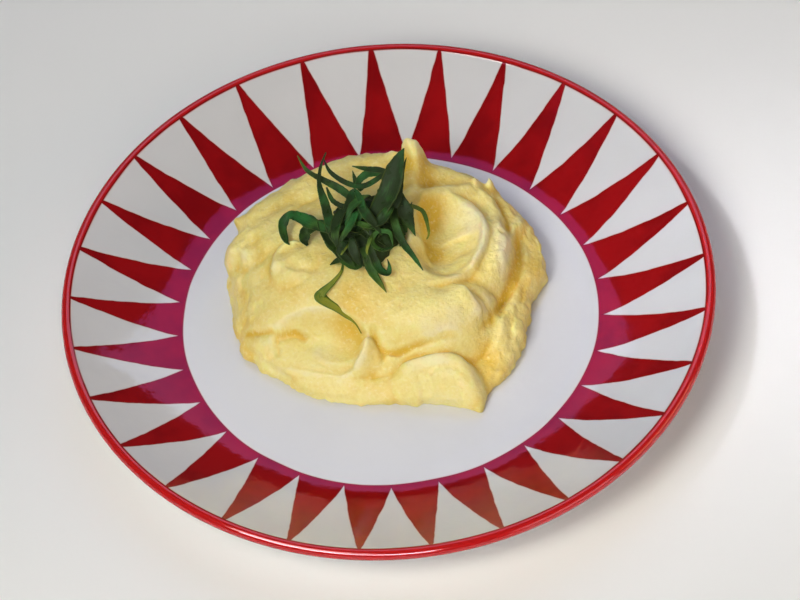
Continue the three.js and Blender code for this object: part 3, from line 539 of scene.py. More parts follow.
class Shader:
    """Adds nodes to one material; a value that is a socket is linked, and any other is set on the input."""

    def __init__(self, name):
        self.material = bpy.data.materials.new(name)
        self.material.use_nodes = True
        self.tree = self.material.node_tree
        self.surface = self.tree.nodes["Principled BSDF"]

    def put(self, socket, value):
        """Links a socket to the input, or sets the input to a plain value."""
        if isinstance(value, bpy.types.NodeSocket):
            self.tree.links.new(value, socket)
        else:
            socket.default_value = value

    def add(self, kind, inputs=None, **settings):
        """Adds a node with its settings and inputs."""
        node = self.tree.nodes.new(kind)
        for key, value in settings.items():
            setattr(node, key, value)
        for key, value in (inputs or {}).items():
            self.put(node.inputs[key], value)
        return node

    def math(self, operation, *values):
        """The result of one operation of a math node."""
        node = self.add("ShaderNodeMath", operation=operation)
        for socket, value in zip(node.inputs, values):
            self.put(socket, value)
        return node.outputs[0]

    def ease(self, value, low, high, to_low=0.0, to_high=1.0):
        """An eased step that takes low to to_low and high to to_high."""
        inputs = {"Value": value, "From Min": low, "From Max": high, "To Min": to_low, "To Max": to_high}
        return self.add("ShaderNodeMapRange", inputs, interpolation_type="SMOOTHSTEP").outputs["Result"]

    def mix(self, share, first, second):
        """The first colour at share 0 and the second at 1; a plain colour is red, green and blue."""
        node = self.add("ShaderNodeMix", data_type="RGBA")
        self.put(node.inputs[0], share)
        for socket, colour in ((node.inputs[6], first), (node.inputs[7], second)):
            self.put(socket, colour if isinstance(colour, bpy.types.NodeSocket) else (*colour, 1.0))
        return node.outputs[2]

    def noise(self, scale, detail=2.0, vector=None, roughness=0.5):
        """Noise from 0 to 1, by the place on the piece unless a vector is given."""
        vector = vector or self.object_place()
        inputs = {"Vector": vector, "Scale": scale, "Detail": detail, "Roughness": roughness}
        return self.add("ShaderNodeTexNoise", inputs).outputs["Fac"]

    def object_place(self):
        """The place on the piece, in metres."""
        return self.add("ShaderNodeTexCoord").outputs["Object"]

    def attribute(self, name):
        """A mark stored on the mesh's points."""
        return self.add("ShaderNodeAttribute", attribute_name=name).outputs["Fac"]

    def bump(self, height, strength, distance, normal=None):
        """The normal after a bump, on top of an earlier normal if there is one."""
        inputs = {"Height": height, "Strength": strength, "Distance": distance}
        if normal:
            inputs["Normal"] = normal
        return self.add("ShaderNodeBump", inputs).outputs["Normal"]

    def finish(self, **inputs):
        """Sets the surface's inputs, written with underscores, and returns the material."""
        for key, value in inputs.items():
            self.put(self.surface.inputs[key.replace("_", " ")], value)
        return self.material


def glaze_material(sizes):
    """White glaze with painted red teeth that meet round the well and point outwards, and a red edge."""
    shader = Shader("painted_glaze")
    place = shader.add("ShaderNodeSeparateXYZ", {"Vector": shader.object_place()})
    x, y = (shader.math("MULTIPLY", place.outputs[axis], 1 / MM) for axis in "XY")
    r = shader.math("SQRT", shader.math("ADD", shader.math("MULTIPLY", x, x), shader.math("MULTIPLY", y, y)))
    azimuth = shader.math("ARCTAN2", y, x)

    # The brush's drift, in degrees, as waves round the rim.
    centre = shader.math("ADD", shader.math("MULTIPLY", azimuth, 180 / math.pi), -sizes.tooth_phase)
    for waves, (size, phase) in enumerate(TOOTH_DRIFT, 1):
        wave = shader.math("SINE", shader.math("MULTIPLY_ADD", azimuth, float(waves), math.radians(phase)))
        centre = shader.math("MULTIPLY_ADD", wave, -size, centre)
    lean_per_mm, upright_radius = 0.028, 102.0
    lean = shader.math("MULTIPLY", shader.math("SUBTRACT", r, upright_radius), lean_per_mm)
    pitch = 360 / sizes.teeth
    turns = shader.math("DIVIDE", shader.math("SUBTRACT", centre, lean), pitch)
    offset = shader.math("ABSOLUTE", shader.math("SUBTRACT", turns, shader.math("ROUND", turns)))
    away = shader.math("MULTIPLY", shader.math("MULTIPLY", offset, r), math.radians(pitch))

    # Each tooth narrows evenly outwards, with an unsteady edge.
    wobble = shader.ease(shader.noise(110.0, 2.0), 0.3, 0.7, -0.17, 0.17)
    slow_wobble = shader.ease(shader.noise(28.0, 1.0), 0.3, 0.7, -0.28, 0.28)
    near_tip, half_there, narrowing = 112.0, 1.66, 0.2025
    half_width = shader.math("MULTIPLY_ADD", shader.math("SUBTRACT", near_tip, r), narrowing, half_there)
    to_tooth = shader.math("SUBTRACT", shader.math("ADD", half_width, wobble), away)
    edge_paint, well_overlap = 3.6, 0.4
    outer_line = sizes.radius - edge_paint
    to_edge = shader.math("SUBTRACT", shader.math("MULTIPLY_ADD", slow_wobble, 0.6, r), outer_line)
    inside = shader.math("MAXIMUM", to_tooth, to_edge)
    to_well = shader.math("SUBTRACT", shader.math("ADD", r, slow_wobble), sizes.well_radius - well_overlap)
    inside = shader.math("MINIMUM", inside, to_well)
    painted = shader.attribute("painted")
    paint = shader.math("MULTIPLY", shader.ease(inside, -0.12, 0.12), painted)
    fringe = shader.math("MULTIPLY", shader.ease(inside, -0.42, -0.05), painted)

    # Colours: even white glaze, thicker and thinner paint, and a darker line where the paint pools.
    red, white = tuple(sizes.red), tuple(sizes.white)
    thick_red, pooled_red, edge_red = (tuple(c * share for c in red) for share in (0.72, 0.45, 1.6))
    grey_white = tuple(c * 0.95 for c in white)
    thin_paint, clay = (0.72, 0.30, 0.25), (0.62, 0.55, 0.45)
    thick = shader.mix(shader.ease(shader.noise(60.0, 3.0), 0.35, 0.68), red, thick_red)
    pooled = shader.mix(shader.ease(inside, 0.15, 0.6, 0.55, 0.0), thick, pooled_red)
    clouded = shader.mix(shader.ease(shader.noise(22.0, 3.0), 0.35, 0.7), white, grey_white)
    pink = shader.mix(shader.math("MULTIPLY", fringe, 0.55), clouded, thin_paint)
    edged = shader.mix(shader.ease(to_edge, 0.2, 0.8), pooled, edge_red)
    glazed = shader.mix(paint, pink, edged)
    bare = shader.attribute("bare_clay")
    colour = shader.mix(bare, glazed, clay)

    # Tints of the reflections: none on the bare glaze, purple on the paint, and faint pink on the edge.
    no_tint, paint_tint, edge_tint = (1.0, 1.0, 1.0), (1.0, 0.1, 0.5), (1.0, 0.9, 0.9)
    deep_tint = shader.mix(paint, no_tint, paint_tint)
    tint = shader.mix(shader.ease(to_edge, -0.5, 0.5, 0.0, 0.75), deep_tint, edge_tint)

    waves = shader.bump(shader.noise(38.0, 2.0), 0.35, 0.0006)
    brushed = shader.bump(shader.noise(170.0, 2.0), 0.25, 0.0004, waves)
    relief = shader.bump(paint, 0.25, 0.00008, brushed)
    fine = shader.bump(shader.noise(900.0, 2.0), 0.05, 0.0001, relief)
    return shader.finish(
        Base_Color=colour,
        Roughness=shader.math("MULTIPLY_ADD", bare, 0.5, 0.08),
        Normal=fine,
        Specular_IOR_Level=0.9,
        Specular_Tint=tint,
    )


def mash_material(sizes):
    """Mash with painted light and shade: paler on its crests, a deeper yellow in its creases, faintly
    mottled and slightly moist.
    """
    shader = Shader("mashed_potato_flesh")
    crest_highlight_cream, fleck_cream, speck_brown = (0.90, 0.82, 0.50), (0.92, 0.82, 0.46), (0.68, 0.48, 0.12)
    # Painted shade: the mash turns a deeper yellow where it sinks below its surroundings.
    shade_depth = shader.attribute("crease_shade")
    mottle = shader.ease(shader.noise(120.0, 3.0), 0.35, 0.68, -0.12, 0.14)
    stain = shader.ease(shader.noise(48.0, 2.0), 0.5, 0.72, 0.0, 0.22)
    share = shader.math("ADD", shader.math("ADD", shade_depth, mottle), stain)
    colour = shader.mix(shader.ease(share, -0.45, 0.9), tuple(sizes.pale), tuple(sizes.crease_shade_colour))
    # Painted highlight: the crests turn a paler cream.
    colour = shader.mix(shader.ease(share, -0.3, -1.0), colour, crest_highlight_cream)
    fine = shader.noise(800.0, 3.0, roughness=0.65)
    flecked = shader.mix(shader.ease(fine, 0.5, 0.7, 0.0, 0.4), colour, fleck_cream)
    speckled = shader.mix(shader.ease(fine, 0.48, 0.3, 0.0, 0.2), flecked, speck_brown)
    grain = shader.bump(fine, 0.55, 0.0005)
    lumps = shader.bump(shader.noise(260.0, 3.0), 0.3, 0.001, grain)
    shader.surface.subsurface_method = "RANDOM_WALK"
    return shader.finish(
        Base_Color=speckled,
        Roughness=0.5,
        Specular_IOR_Level=0.35,
        Subsurface_Weight=0.4,
        Subsurface_Radius=(0.0030, 0.0018, 0.0006),
        Subsurface_Scale=0.9,
        Normal=lumps,
    )


def leaf_material(sizes, name):
    """Spring onion leaf: fine fibres along it, tone from dark to pale green, cut edges and damp patches."""
    shader = Shader(name)
    tone = shader.attribute("tone")
    across = shader.attribute("across")
    along = shader.attribute("along")
    squeezed = shader.math("MULTIPLY", across, 9.0)
    place = shader.add("ShaderNodeCombineXYZ", {"X": squeezed, "Y": along}).outputs[0]
    fibre = shader.noise(3.0, 3.0, place)
    patch = shader.noise(160.0, 2.0)
    mixed = shader.math("ADD", tone, shader.ease(patch, 0.3, 0.75, -0.2, 0.22))
    mixed = shader.math("ADD", mixed, shader.ease(fibre, 0.35, 0.7, -0.1, 0.12))
    emerald = tuple(c * k for c, k in zip(sizes.middle, (0.45, 1.1, 1.6)))
    cut_green = (0.12, 0.15, 0.02)
    cool_patch = shader.ease(shader.noise(60.0, 1.0), 0.42, 0.58)
    cool = shader.math("MULTIPLY", cool_patch, shader.ease(tone, 0.5, 0.25))
    middle = shader.mix(cool, tuple(sizes.middle), emerald)
    green = shader.mix(shader.ease(mixed, 0.0, 0.5), tuple(sizes.dark), middle)
    fresh = shader.mix(shader.ease(mixed, 0.45, 1.0), green, tuple(sizes.light))
    sideways = shader.math("ABSOLUTE", across)
    cut = shader.ease(sideways, 0.85, 1.0, 0.0, 0.4)
    rim = shader.math("MULTIPLY", shader.ease(sideways, 0.5, 0.85), shader.ease(tone, 0.5, 0.8, 0.0, 0.7))
    banded = shader.mix(rim, fresh, tuple(sizes.middle))
    colour = shader.mix(cut, banded, cut_green)
    wet = shader.ease(shader.noise(340.0, 2.0), 0.6, 0.7)
    return shader.finish(
        Base_Color=colour,
        Roughness=shader.math("MULTIPLY_ADD", wet, -0.3, 0.5),
        Specular_IOR_Level=0.13,
        Normal=shader.bump(fibre, 0.5, 0.0003),
    )


# ---- Pieces ----


class SERVING_OT_plate(bpy.types.Operator):
    """Adds the glazed plate: a lathe of its profile, fine enough for a smooth edge"""

    bl_idname = "serving.plate"
    bl_label = "Plate"

    def rim_height(self, sizes, r):
        """The floor's height, plus a power of how far out the place lies between the well and the edge."""
        rim_width = sizes.radius - sizes.bead_radius - sizes.well_radius
        outwards = np.maximum(r - sizes.well_radius, 0) / rim_width
        return sizes.floor_top + (PLATE_TOP - sizes.floor_top) * outwards**sizes.rim_power

    def profile(self, sizes):
        """The section from the axis underneath to the axis on top, and its marks for paint and bare clay."""
        thickness, rim_extra = 3.5, 1.2
        underside = sizes.floor_top - thickness
        foot_inner, foot_outer = 65.0, 71.0
        inner_round, outer_round = 0.6, 0.8
        turn = np.linspace(0, math.pi / 2, 5)
        rise, fall = 1 - np.cos(turn), 1 - np.sin(turn)
        recess = np.stack([np.linspace(2, foot_inner - 1.6, 8), np.full(8, underside)], -1)
        inner_corner = np.stack([foot_inner + inner_round * rise, inner_round * fall], -1)
        outer_corner = np.stack([foot_outer - outer_round * fall, outer_round * rise], -1)
        bead_r, bead_z = sizes.radius - sizes.bead_radius, PLATE_TOP - sizes.bead_radius
        under_r = np.linspace(foot_outer + 2, bead_r - 4, 16)
        share = np.linspace(0, 1, 16)
        under = np.stack([under_r, self.rim_height(sizes, under_r) - thickness - rim_extra * share], -1)
        angles = np.radians(np.linspace(-85, 100, 15))
        bead_out, bead_up = sizes.bead_radius * np.cos(angles), sizes.bead_radius * np.sin(angles)
        bead = np.stack([bead_r + bead_out, bead_z + bead_up], -1)
        top_r = np.linspace(bead_r - 1.6, sizes.well_radius - 2, 44)
        top = np.stack([top_r, self.rim_height(sizes, top_r)], -1)
        floor_r = np.linspace(sizes.well_radius - 6, 2, 16)
        floor = np.stack([floor_r, np.full(16, sizes.floor_top)], -1)
        parts = [recess, inner_corner, outer_corner, under, bead, top, floor]
        # The paint starts at the bead, the fifth part; the foot ring's underside is bare.
        painted = np.concatenate([np.full(len(p), float(k >= 4)) for k, p in enumerate(parts)])
        section = np.vstack(parts)
        bare_height = 0.35
        bare = ((section[:, 1] < bare_height) & (section[:, 0] > foot_inner - 1)).astype(float)
        return section, painted, bare

    def execute(self, context):
        sizes = context.scene.plate_sizes
        section, painted, bare = self.profile(sizes)
        azimuth = np.linspace(0, 2 * math.pi, PLATE_SIDES, endpoint=False)
        r, z = section[:, 0, None], section[:, 1, None]
        rings = np.stack([r * np.cos(azimuth), r * np.sin(azimuth), z + 0 * azimuth], -1)
        points, faces = closed_tube(rings)
        marks = {
            "painted": np.append(np.repeat(painted, PLATE_SIDES), (0, 1)),
            "bare_clay": np.append(np.repeat(bare, PLATE_SIDES), (0, 0)),
        }
        new_piece("glazed_plate", points, faces, glaze_material(sizes), ["plate"], marks)
        return {"FINISHED"}


def mash_surface(x, y, share, sizes):
    """Height above the well's floor: the heap's height times a steep fall to nothing at the edge."""
    power = all_round(np.degrees(np.arctan2(y - MASH_CENTRE[1], x - MASH_CENTRE[0])), EDGE_POWER)
    return mash_height(x, y, sizes) * np.sqrt(np.maximum(1 - share**power, 0))


def mash_relief(points, sizes):
    """Lumps, small ragged crests and grain of lattice noise, as an offset for each point."""
    x, y = points[..., 0], points[..., 1]
    rough = np.minimum(smooth_step(x, 28, 46) + smooth_step(-x, 38, 52) + 0.6 * smooth_step(y, 34, 50), 1)
    lumps = 0.6 * lattice_noise(points, 9.0, 3) + (0.22 + 0.5 * rough) * lattice_noise(points, 4.8, 4)
    crests = (0.1 + 0.8 * rough) * (0.45 - np.abs(lattice_noise(points, 3.6, 7)))
    grain = lattice_noise(points, 1.9, 5) + 0.7 * lattice_noise(points, 0.95, 6)
    grain = sizes.grain * (0.5 + rough) * grain
    along_x = 0.35 * lattice_noise(points, 3.0, 8)
    along_y = 0.35 * lattice_noise(points, 3.0, 9)
    return np.stack([along_x, along_y, lumps + crests + grain], -1)


def mash_points(sizes, base):
    """Points on a fan of rays from the mash's middle, closer together towards the edge, ring by ring."""
    v = np.linspace(0, 1, sizes.rings + 1)[1:, None]
    share = v * (2 - v)
    azimuth = np.linspace(0, 360, sizes.sides, endpoint=False)[None, :]
    turn = np.radians(azimuth)
    mean_radius = 58
    ring = np.stack([mean_radius * np.cos(turn), mean_radius * np.sin(turn), np.zeros_like(turn)], -1)
    ragged = 0.8 * lattice_noise(ring, 7.0, 1) + 0.7 * lattice_noise(ring, 2.8, 2)
    ragged += 0.3 * lattice_noise(ring, 1.3, 10)
    reach = (all_round(azimuth, EDGE_RADIUS) + ragged * share**6) * share
    reach = reach - all_round(azimuth, UNDERCUT) * share**24
    x = MASH_CENTRE[0] + reach * np.cos(turn)
    y = MASH_CENTRE[1] + reach * np.sin(turn)
    z = base + mash_surface(x, y, share, sizes)
    points = np.stack([x, y, z], -1)
    # The wall bulges in and out in layers, most at a third of its height and at the back.
    rise = np.sqrt(1 - share ** all_round(azimuth, EDGE_POWER))
    layers = np.sin(9 * rise + 2.4 * np.sin(2 * turn) + 1.2 * np.sin(5 * turn))
    bulge = 1.6 * layers + 2.4 * lattice_noise(points, 8.0, 31) + 1.2 * lattice_noise(points, 3.6, 32)
    bulge = bulge * 6.75 * rise * (1 - rise) ** 2 * (0.2 + 0.8 * np.clip(np.sin(turn) * 1.5, 0, 1))
    points += bulge[..., None] * np.stack([np.cos(turn), np.sin(turn), 0 * turn], -1)
    points = points + mash_relief(points, sizes)
    points[..., 2] = np.maximum(points[..., 2], base)
    return points


def crease_shade(x, y, sizes):
    """Painted shade: how far each place sinks below its surroundings near and wide, plus the spots; below 0
    on a crest.
    """
    step, half = 0.5, 70
    line = np.arange(-half, half + step, step)
    grid_x, grid_y = np.meshgrid(line, line)
    height = mash_height(grid_x, grid_y, sizes)
    shade_depth = np.zeros_like(height)
    # Each pair is how many steps the surroundings reach, and the depth in mm that counts as 1.
    for reach, scale in ((1, 1.0), (6, 8.0), (20, 36.0)):
        mean = height
        kernel = np.ones(2 * reach + 1) / (2 * reach + 1)
        for _ in range(2):
            mean = np.apply_along_axis(np.convolve, 0, mean, kernel, "same")
            mean = np.apply_along_axis(np.convolve, 1, mean, kernel, "same")
        shade_depth += np.clip((mean - height) / scale, -0.3, 1)
    column, row = (x + half) / step, (y + half) / step
    i, j = row.astype(int), column.astype(int)
    u, v = row - i, column - j
    near = (1 - u) * ((1 - v) * shade_depth[i, j] + v * shade_depth[i, j + 1])
    near += u * ((1 - v) * shade_depth[i + 1, j] + v * shade_depth[i + 1, j + 1])
    # Spots of painted shade and painted light on top.
    for cx, cy, radius, amount in PAINTED_SHADE_AND_LIGHT:
        near += amount * np.exp(-((x - cx) ** 2 + (y - cy) ** 2) / radius**2)
    return np.clip(near, -1, 1.2)


class SERVING_OT_mash(bpy.types.Operator):
    """Adds the mashed potato as one closed surface that rests a hair above the plate"""

    bl_idname = "serving.mash"
    bl_label = "Mashed potato"

    def execute(self, context):
        sizes = context.scene.mash_sizes
        base = context.scene.plate_sizes.floor_top + GAP
        points = mash_points(sizes, base)
        inset_share = 0.02
        inset = points[-1].copy()
        inset[:, :2] += (np.array(MASH_CENTRE) - inset[:, :2]) * inset_share
        inset[:, 2] = base
        shown, faces = closed_tube(np.concatenate([points, inset[None]]))
        # The painted shade of the creases and the painted spots, stored on each point.
        shade_depth = crease_shade(shown[:, 0], shown[:, 1], sizes)
        material = mash_material(sizes)
        marks = {"crease_shade": shade_depth}
        new_piece("mashed_potato_mound", shown, faces, material, ["mashed_potato"], marks)
        return {"FINISHED"}


def ball_points(polar, turn):
    """Points of a unit ball at angles from its top and round its axis."""
    out = np.sin(polar)
    return np.stack([out * np.cos(turn), out * np.sin(turn), np.cos(polar) + 0 * turn], -1)


def leaf_strip(path, widths, rolls, thickness, cup):
    """A leaf's strip: at each point of the path a thin curved section, turned about the path by its roll.

    Across the strip u runs from -1 to 1. A point lies u times the half width to the side, and its lift grows
    with u squared times the cup. The two faces lie half the thickness to either side, less at the edges.
    """
    along = np.gradient(path, axis=0)
    along /= np.linalg.norm(along, axis=1, keepdims=True)
    flat = np.cross((0, 0, 1.0), along)
    flat /= np.linalg.norm(flat, axis=1, keepdims=True) + 1e-9
    up = np.cross(along, flat)
    cos, sin = np.cos(rolls)[:, None], np.sin(rolls)[:, None]
    across, normal = flat * cos + up * sin, up * cos - flat * sin
    u = np.array([-1, -0.66, -0.33, 0, 0.33, 0.66, 1])
    loop_u = np.concatenate([u, u[::-1]])
    face = np.repeat((1.0, -1.0), len(u))
    half = (widths / 2)[:, None]
    lift = cup * half * (loop_u**2 - 0.4) + face * thickness / 2 * np.sqrt(1.04 - loop_u**2)
    rings = path[:, None] + across[:, None] * (half * loop_u)[..., None] + normal[:, None] * lift[..., None]
    return rings, loop_u


def leaf_widths(count, width, belly):
    """Widths along a shred: zero at both tips and widest at the belly."""
    t = np.linspace(0, 1, count)
    bent = np.where(t < belly, t / belly / 2, 0.5 + (t - belly) / (1 - belly) / 2)
    return width * np.clip(np.sin(math.pi * bent), 0.05, 1)


class ShredBundle:
    """Collects shreds into one mesh, with the marks that their material reads."""

    def __init__(self):
        self.points, self.faces, self.marks = [], [], {"tone": [], "across": [], "along": []}
        self.count = 0

    def add(self, path, widths, rolls, tones, thickness, cup=0.35):
        """Adds one shred; the fibres' pattern starts at another place on each."""
        pattern_per_mm, pattern_shift = 0.05, 0.37
        rings, loop_u = leaf_strip(path, widths, rolls, thickness, cup)
        points, faces = closed_tube(rings)
        rows, columns = rings.shape[:2]
        pieces = np.linalg.norm(np.diff(path, axis=0), axis=1)
        length = np.concatenate([[0], pieces.cumsum()]) * pattern_per_mm
        self.points.append(points)
        self.faces += [[index + self.count for index in face] for face in faces]
        self.count += len(points)
        for label, values in (
            ("tone", np.repeat(tones, columns)),
            ("across", np.tile(loop_u, rows)),
            ("along", np.repeat(length + self.count * pattern_shift, columns)),
        ):
            self.marks[label].append(np.append(values, (values[0], values[-1])))

    def finish(self, name, material, slot, nodes):
        """Adds the collected shreds as one piece."""
        marks = {label: np.concatenate(values) for label, values in self.marks.items()}
        new_piece(name, np.vstack(self.points), self.faces, material, nodes, marks)


class SERVING_OT_onion(bpy.types.Operator):
    """Adds the heap of spring onion: a dark core, the long shreds, small curled ones and draped ones"""

    bl_idname = "serving.onion"
    bl_label = "Spring onion heap"

    def execute(self, context):
        sizes = context.scene.onion_sizes
        floor = context.scene.plate_sizes.floor_top + GAP
        material = leaf_material(sizes, "spring_onion_leaf")
        self.add_core(floor, material)
        self.add_long(sizes, floor, material)
        self.add_small(sizes, floor, material)
        return {"FINISHED"}

    def add_core(self, floor, material):
        """A squashed ball, roughened by lattice noise, that fills the heap behind its shreds."""
        rx, ry, rz, height = HEAP_CORE
        pole_gap, rows, columns = 0.06, 32, 48
        polar = np.linspace(pole_gap, math.pi - pole_gap, rows)[:, None]
        turn = np.linspace(0, 2 * math.pi, columns, endpoint=False)[None, :]
        ball = ball_points(polar, turn)
        points = ball * (rx, ry, rz) + (*HEAP_CENTRE, floor + height)
        rough = 1.6 * lattice_noise(points, 4.0, 11) + 0.7 * lattice_noise(points, 1.8, 12)
        points += ball * rough[..., None]
        shown, faces = closed_tube(points)
        marks = {label: np.zeros(len(shown)) for label in ("tone", "across", "along")}
        new_piece("onion_core", shown, faces, material, ["onion_heap"], marks)

    def add_long(self, sizes, floor, material):
        """The shreds along routes of their own, with slightly ragged edges."""
        bundle = ShredBundle()
        for roll, tip_tone, root_tone, route in LONG_SHREDS.values():
            points = smooth_route(route, LONG_STEPS)
            path = points[:, :3] + (0, 0, floor)
            steps = len(path)
            ragged = 1 + 0.07 * lattice_noise(path, 1.7, 21) + 0.08 * lattice_noise(path, 0.7, 22)
            widths = np.maximum(points[:, 3], 0.2) * ragged
            tones = np.linspace(tip_tone, root_tone, steps)
            bundle.add(path, widths, np.full(steps, roll), tones, sizes.thickness)
        bundle.finish("onion_long_shreds", material, "green_shreds", ["onion_heap"])

    def add_small(self, sizes, floor, material):
        """Small shreds on a seeded spiral of places, each bent to an arc or a loose curl."""
        spiral_radius, spiral_turn = 8.5, math.radians(137.5)
        most_bend, shortest, longest = 3.6, 7, 13
        heap_top, droop = 42.0, 0.028
        random = np.random.default_rng(sizes.seed)
        bundle = ShredBundle()
        t = np.linspace(-0.5, 0.5, SMALL_POINTS)
        for k in range(sizes.small_count):
            outwards = spiral_radius * math.sqrt((k + 0.5) / sizes.small_count)
            place = k * spiral_turn
            heading = random.uniform(0, 2 * math.pi)
            bend = random.uniform(-most_bend, most_bend)
            length = random.uniform(shortest, longest)
            turn = heading + bend * t
            steps = length * np.stack([np.cos(turn), np.sin(turn)], -1) / len(t)
            flat = np.cumsum(steps, axis=0)
            flat += HEAP_CENTRE + outwards * np.array([math.cos(place), math.sin(place)]) - flat.mean(0)
            away = np.hypot(*(flat - HEAP_CENTRE).T)
            top = heap_top + random.uniform(-1.0, 2.5) - droop * away**2 + 1.2 * np.sin(6 * t + k)
            path = np.column_stack([flat, floor + top])
            widths = leaf_widths(len(t), random.uniform(1.8, 3.8), random.uniform(0.3, 0.7))
            rolls = np.linspace(random.uniform(-0.9, 0.9), random.uniform(-0.9, 0.9), len(t))
            tones = np.full(len(t), 0.4 * random.random() ** 3)
            bundle.add(path, widths, rolls, tones, sizes.thickness)
        self.add_draped(sizes, floor, bundle, random)
        bundle.finish("onion_small_shreds", material, "green_shreds", ["onion_heap"])

    def add_draped(self, sizes, floor, bundle, random):
        """Shreds over the back and sides of the core, each down an arc of a slightly larger ball."""
        rx, ry, rz, height = HEAP_CORE
        right, left = -20, 200
        t = np.linspace(0, 1, SMALL_POINTS)
        for place in np.radians(np.linspace(right, left, sizes.draped_count)):
            turn = place + random.uniform(-0.7, 0.7) * (t - 0.5)
            polar = random.uniform(0.4, 0.8) + random.uniform(1.2, 1.7) * t
            out = random.uniform(1.03, 1.09)
            path = out * ball_points(polar, turn) * (rx, ry, rz) + (*HEAP_CENTRE, floor + height)
            widths = leaf_widths(len(t), random.uniform(2.6, 4.6), random.uniform(0.35, 0.7))
            tones = np.full(len(t), 0.5 * random.random() ** 2)
            bundle.add(path, widths, np.full(len(t), random.uniform(-0.4, 0.4)), tones, sizes.thickness)


class SERVING_OT_loose_shred(bpy.types.Operator):
    """Adds the pale shred that lies down the front of the mash"""

    bl_idname = "serving.loose_shred"
    bl_label = "Loose shred"

    def execute(self, context):
        sizes = context.scene.onion_sizes
        mash = context.scene.mash_sizes
        floor = context.scene.plate_sizes.floor_top + GAP
        above_mash = 0.9
        x, y, widths = smooth_route(LOOSE_SHRED, LOOSE_STEPS).T
        path = np.column_stack([x, y, floor + mash_height(x, y, mash) + above_mash])
        bundle = ShredBundle()
        t = np.linspace(0, 1, len(path))
        tones = 0.95 - 0.3 * np.exp(-((t - 0.47) * 9) ** 2) - 0.3 * np.exp(-((t * 6) ** 2))
        bundle.add(path, widths, np.zeros(len(path)), tones, sizes.thickness, 0.2)
        material = leaf_material(sizes, "pale_onion_leaf")
        bundle.finish("loose_onion_shred", material, "light_green_shred", ["loose_shred"])
        return {"FINISHED"}


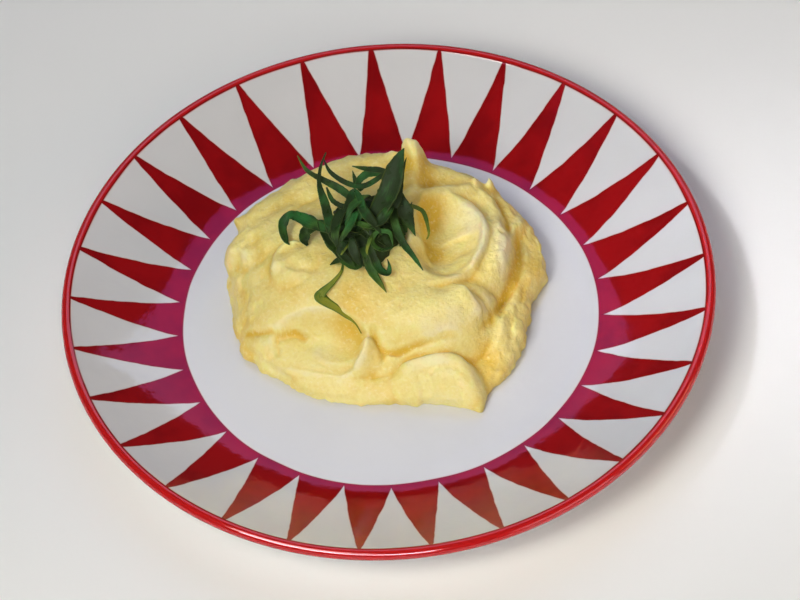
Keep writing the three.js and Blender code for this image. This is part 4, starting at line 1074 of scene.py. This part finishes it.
class SERVING_OT_stage(bpy.types.Operator):
    """Adds the pale floor, the soft lights and the camera"""

    bl_idname = "serving.stage"
    bl_label = "Floor, lights and camera"

    def execute(self, context):
        self.add_floor()
        self.add_world(context.scene)
        for name, lamp in LAMPS.items():
            self.add_lamp(name, *lamp)
        self.add_camera(context.scene, context.scene.stage_sizes)
        context.scene.view_settings.view_transform = "Standard"
        return {"FINISHED"}

    def add_floor(self):
        """A pale square under the plate, as stage only."""
        half = 3.0
        corners = [(-half, -half, 0), (half, -half, 0), (half, half, 0), (-half, half, 0)]
        mesh = bpy.data.meshes.new("pale_floor")
        mesh.from_pydata(corners, [], [(0, 1, 2, 3)])
        floor = bpy.data.objects.new("pale_floor", mesh)
        bpy.context.scene.collection.objects.link(floor)
        shader = Shader("pale_floor_paint")
        near_white = (0.93, 0.93, 0.93, 1.0)
        mesh.materials.append(shader.finish(Base_Color=near_white, Roughness=0.8))

    def add_world(self, scene):
        """A dim sky that fills the shadows."""
        world = bpy.data.worlds.new("soft_sky")
        world.use_nodes = True
        pale_blue, strength = (0.93, 0.96, 1.0, 1.0), 0.05
        background = world.node_tree.nodes["Background"]
        background.inputs["Color"].default_value = pale_blue
        background.inputs["Strength"].default_value = strength
        scene.world = world

    def add_lamp(self, name, place, size, power, colour, aim_at, spread, unseen_by):
        """One rectangular lamp from its row in LAMPS."""
        light = bpy.data.lights.new(name, "AREA")
        light.shape = "RECTANGLE"
        light.size, light.size_y = size
        light.energy = power
        light.color = colour
        lamp = bpy.data.objects.new(name, light)
        lamp.location = place
        light.spread = math.radians(spread)
        aim = Vector(aim_at) - Vector(place)
        lamp.rotation_euler = aim.to_track_quat("-Z", "Y").to_euler()
        if unseen_by:
            setattr(lamp, f"visible_{unseen_by}", False)
        bpy.context.scene.collection.objects.link(lamp)

    def add_camera(self, scene, stage):
        """The camera looks along +Y and down, rolled, and pans to keep the plate left of the middle."""
        forward = Vector((0, math.cos(stage.elevation), -math.sin(stage.elevation)))
        right = Vector((1, 0, 0))
        up = right.cross(forward)
        cos, sin = math.cos(stage.roll), math.sin(stage.roll)
        rolled_right = right * cos + up * sin
        rolled_up = up * cos - right * sin
        frame_width, frame_height, sensor_width = 800, 600, 36
        plate_centre_x, plate_centre_y = 387.6, 289.7
        focal = stage.focal / sensor_width * frame_width
        pan_right = (frame_width / 2 - plate_centre_x) / focal
        pan_down = (frame_height / 2 - plate_centre_y) / focal
        gaze = forward + rolled_right * pan_right - rolled_up * pan_down
        gaze.normalize()
        side = (rolled_right - gaze * rolled_right.dot(gaze)).normalized()
        place = Vector((0, 0, PLATE_TOP * MM)) - forward * stage.distance
        camera_data = bpy.data.cameras.new("serving_camera")
        camera_data.lens = stage.focal
        camera_data.clip_end = 20
        camera = bpy.data.objects.new("serving_camera", camera_data)
        axes = Matrix((side, side.cross(gaze).normalized(), -gaze)).transposed()
        camera.matrix_world = Matrix.Translation(place) @ axes.to_4x4()
        scene.collection.objects.link(camera)
        scene.camera = camera


class SERVING_PT_panel(bpy.types.Panel):
    """Lists the serving's pieces and sizes"""

    bl_label = "Mashed potato serving"
    bl_idname = "SERVING_PT_panel"
    bl_space_type = "VIEW_3D"
    bl_region_type = "UI"
    bl_category = "Serving"

    def draw(self, context):
        for group, operators in (
            ("plate_sizes", ["serving.plate"]),
            ("mash_sizes", ["serving.mash"]),
            ("onion_sizes", ["serving.onion", "serving.loose_shred"]),
            ("stage_sizes", ["serving.stage"]),
        ):
            box = self.layout.box()
            sizes = getattr(context.scene, group)
            for key in sizes.__annotations__:
                box.prop(sizes, key)
            for operator in operators:
                box.operator(operator)


GROUPS = {
    "plate_sizes": PlateSizes,
    "mash_sizes": MashSizes,
    "onion_sizes": OnionSizes,
    "stage_sizes": StageSizes,
}
CLASSES = (
    *GROUPS.values(),
    SERVING_OT_plate,
    SERVING_OT_mash,
    SERVING_OT_onion,
    SERVING_OT_loose_shred,
    SERVING_OT_stage,
    SERVING_PT_panel,
)


def register():
    for cls in CLASSES:
        bpy.utils.register_class(cls)
    for key, group in GROUPS.items():
        setattr(bpy.types.Scene, key, PointerProperty(type=group))


def unregister():
    for key in GROUPS:
        delattr(bpy.types.Scene, key)
    for cls in reversed(CLASSES):
        bpy.utils.unregister_class(cls)


def main():
    register()
    bpy.ops.serving.plate()
    bpy.ops.serving.mash()
    bpy.ops.serving.onion()
    bpy.ops.serving.loose_shred()
    bpy.ops.serving.stage()
    bpy.context.view_layer.update()


if __name__ == "__main__":
    main()
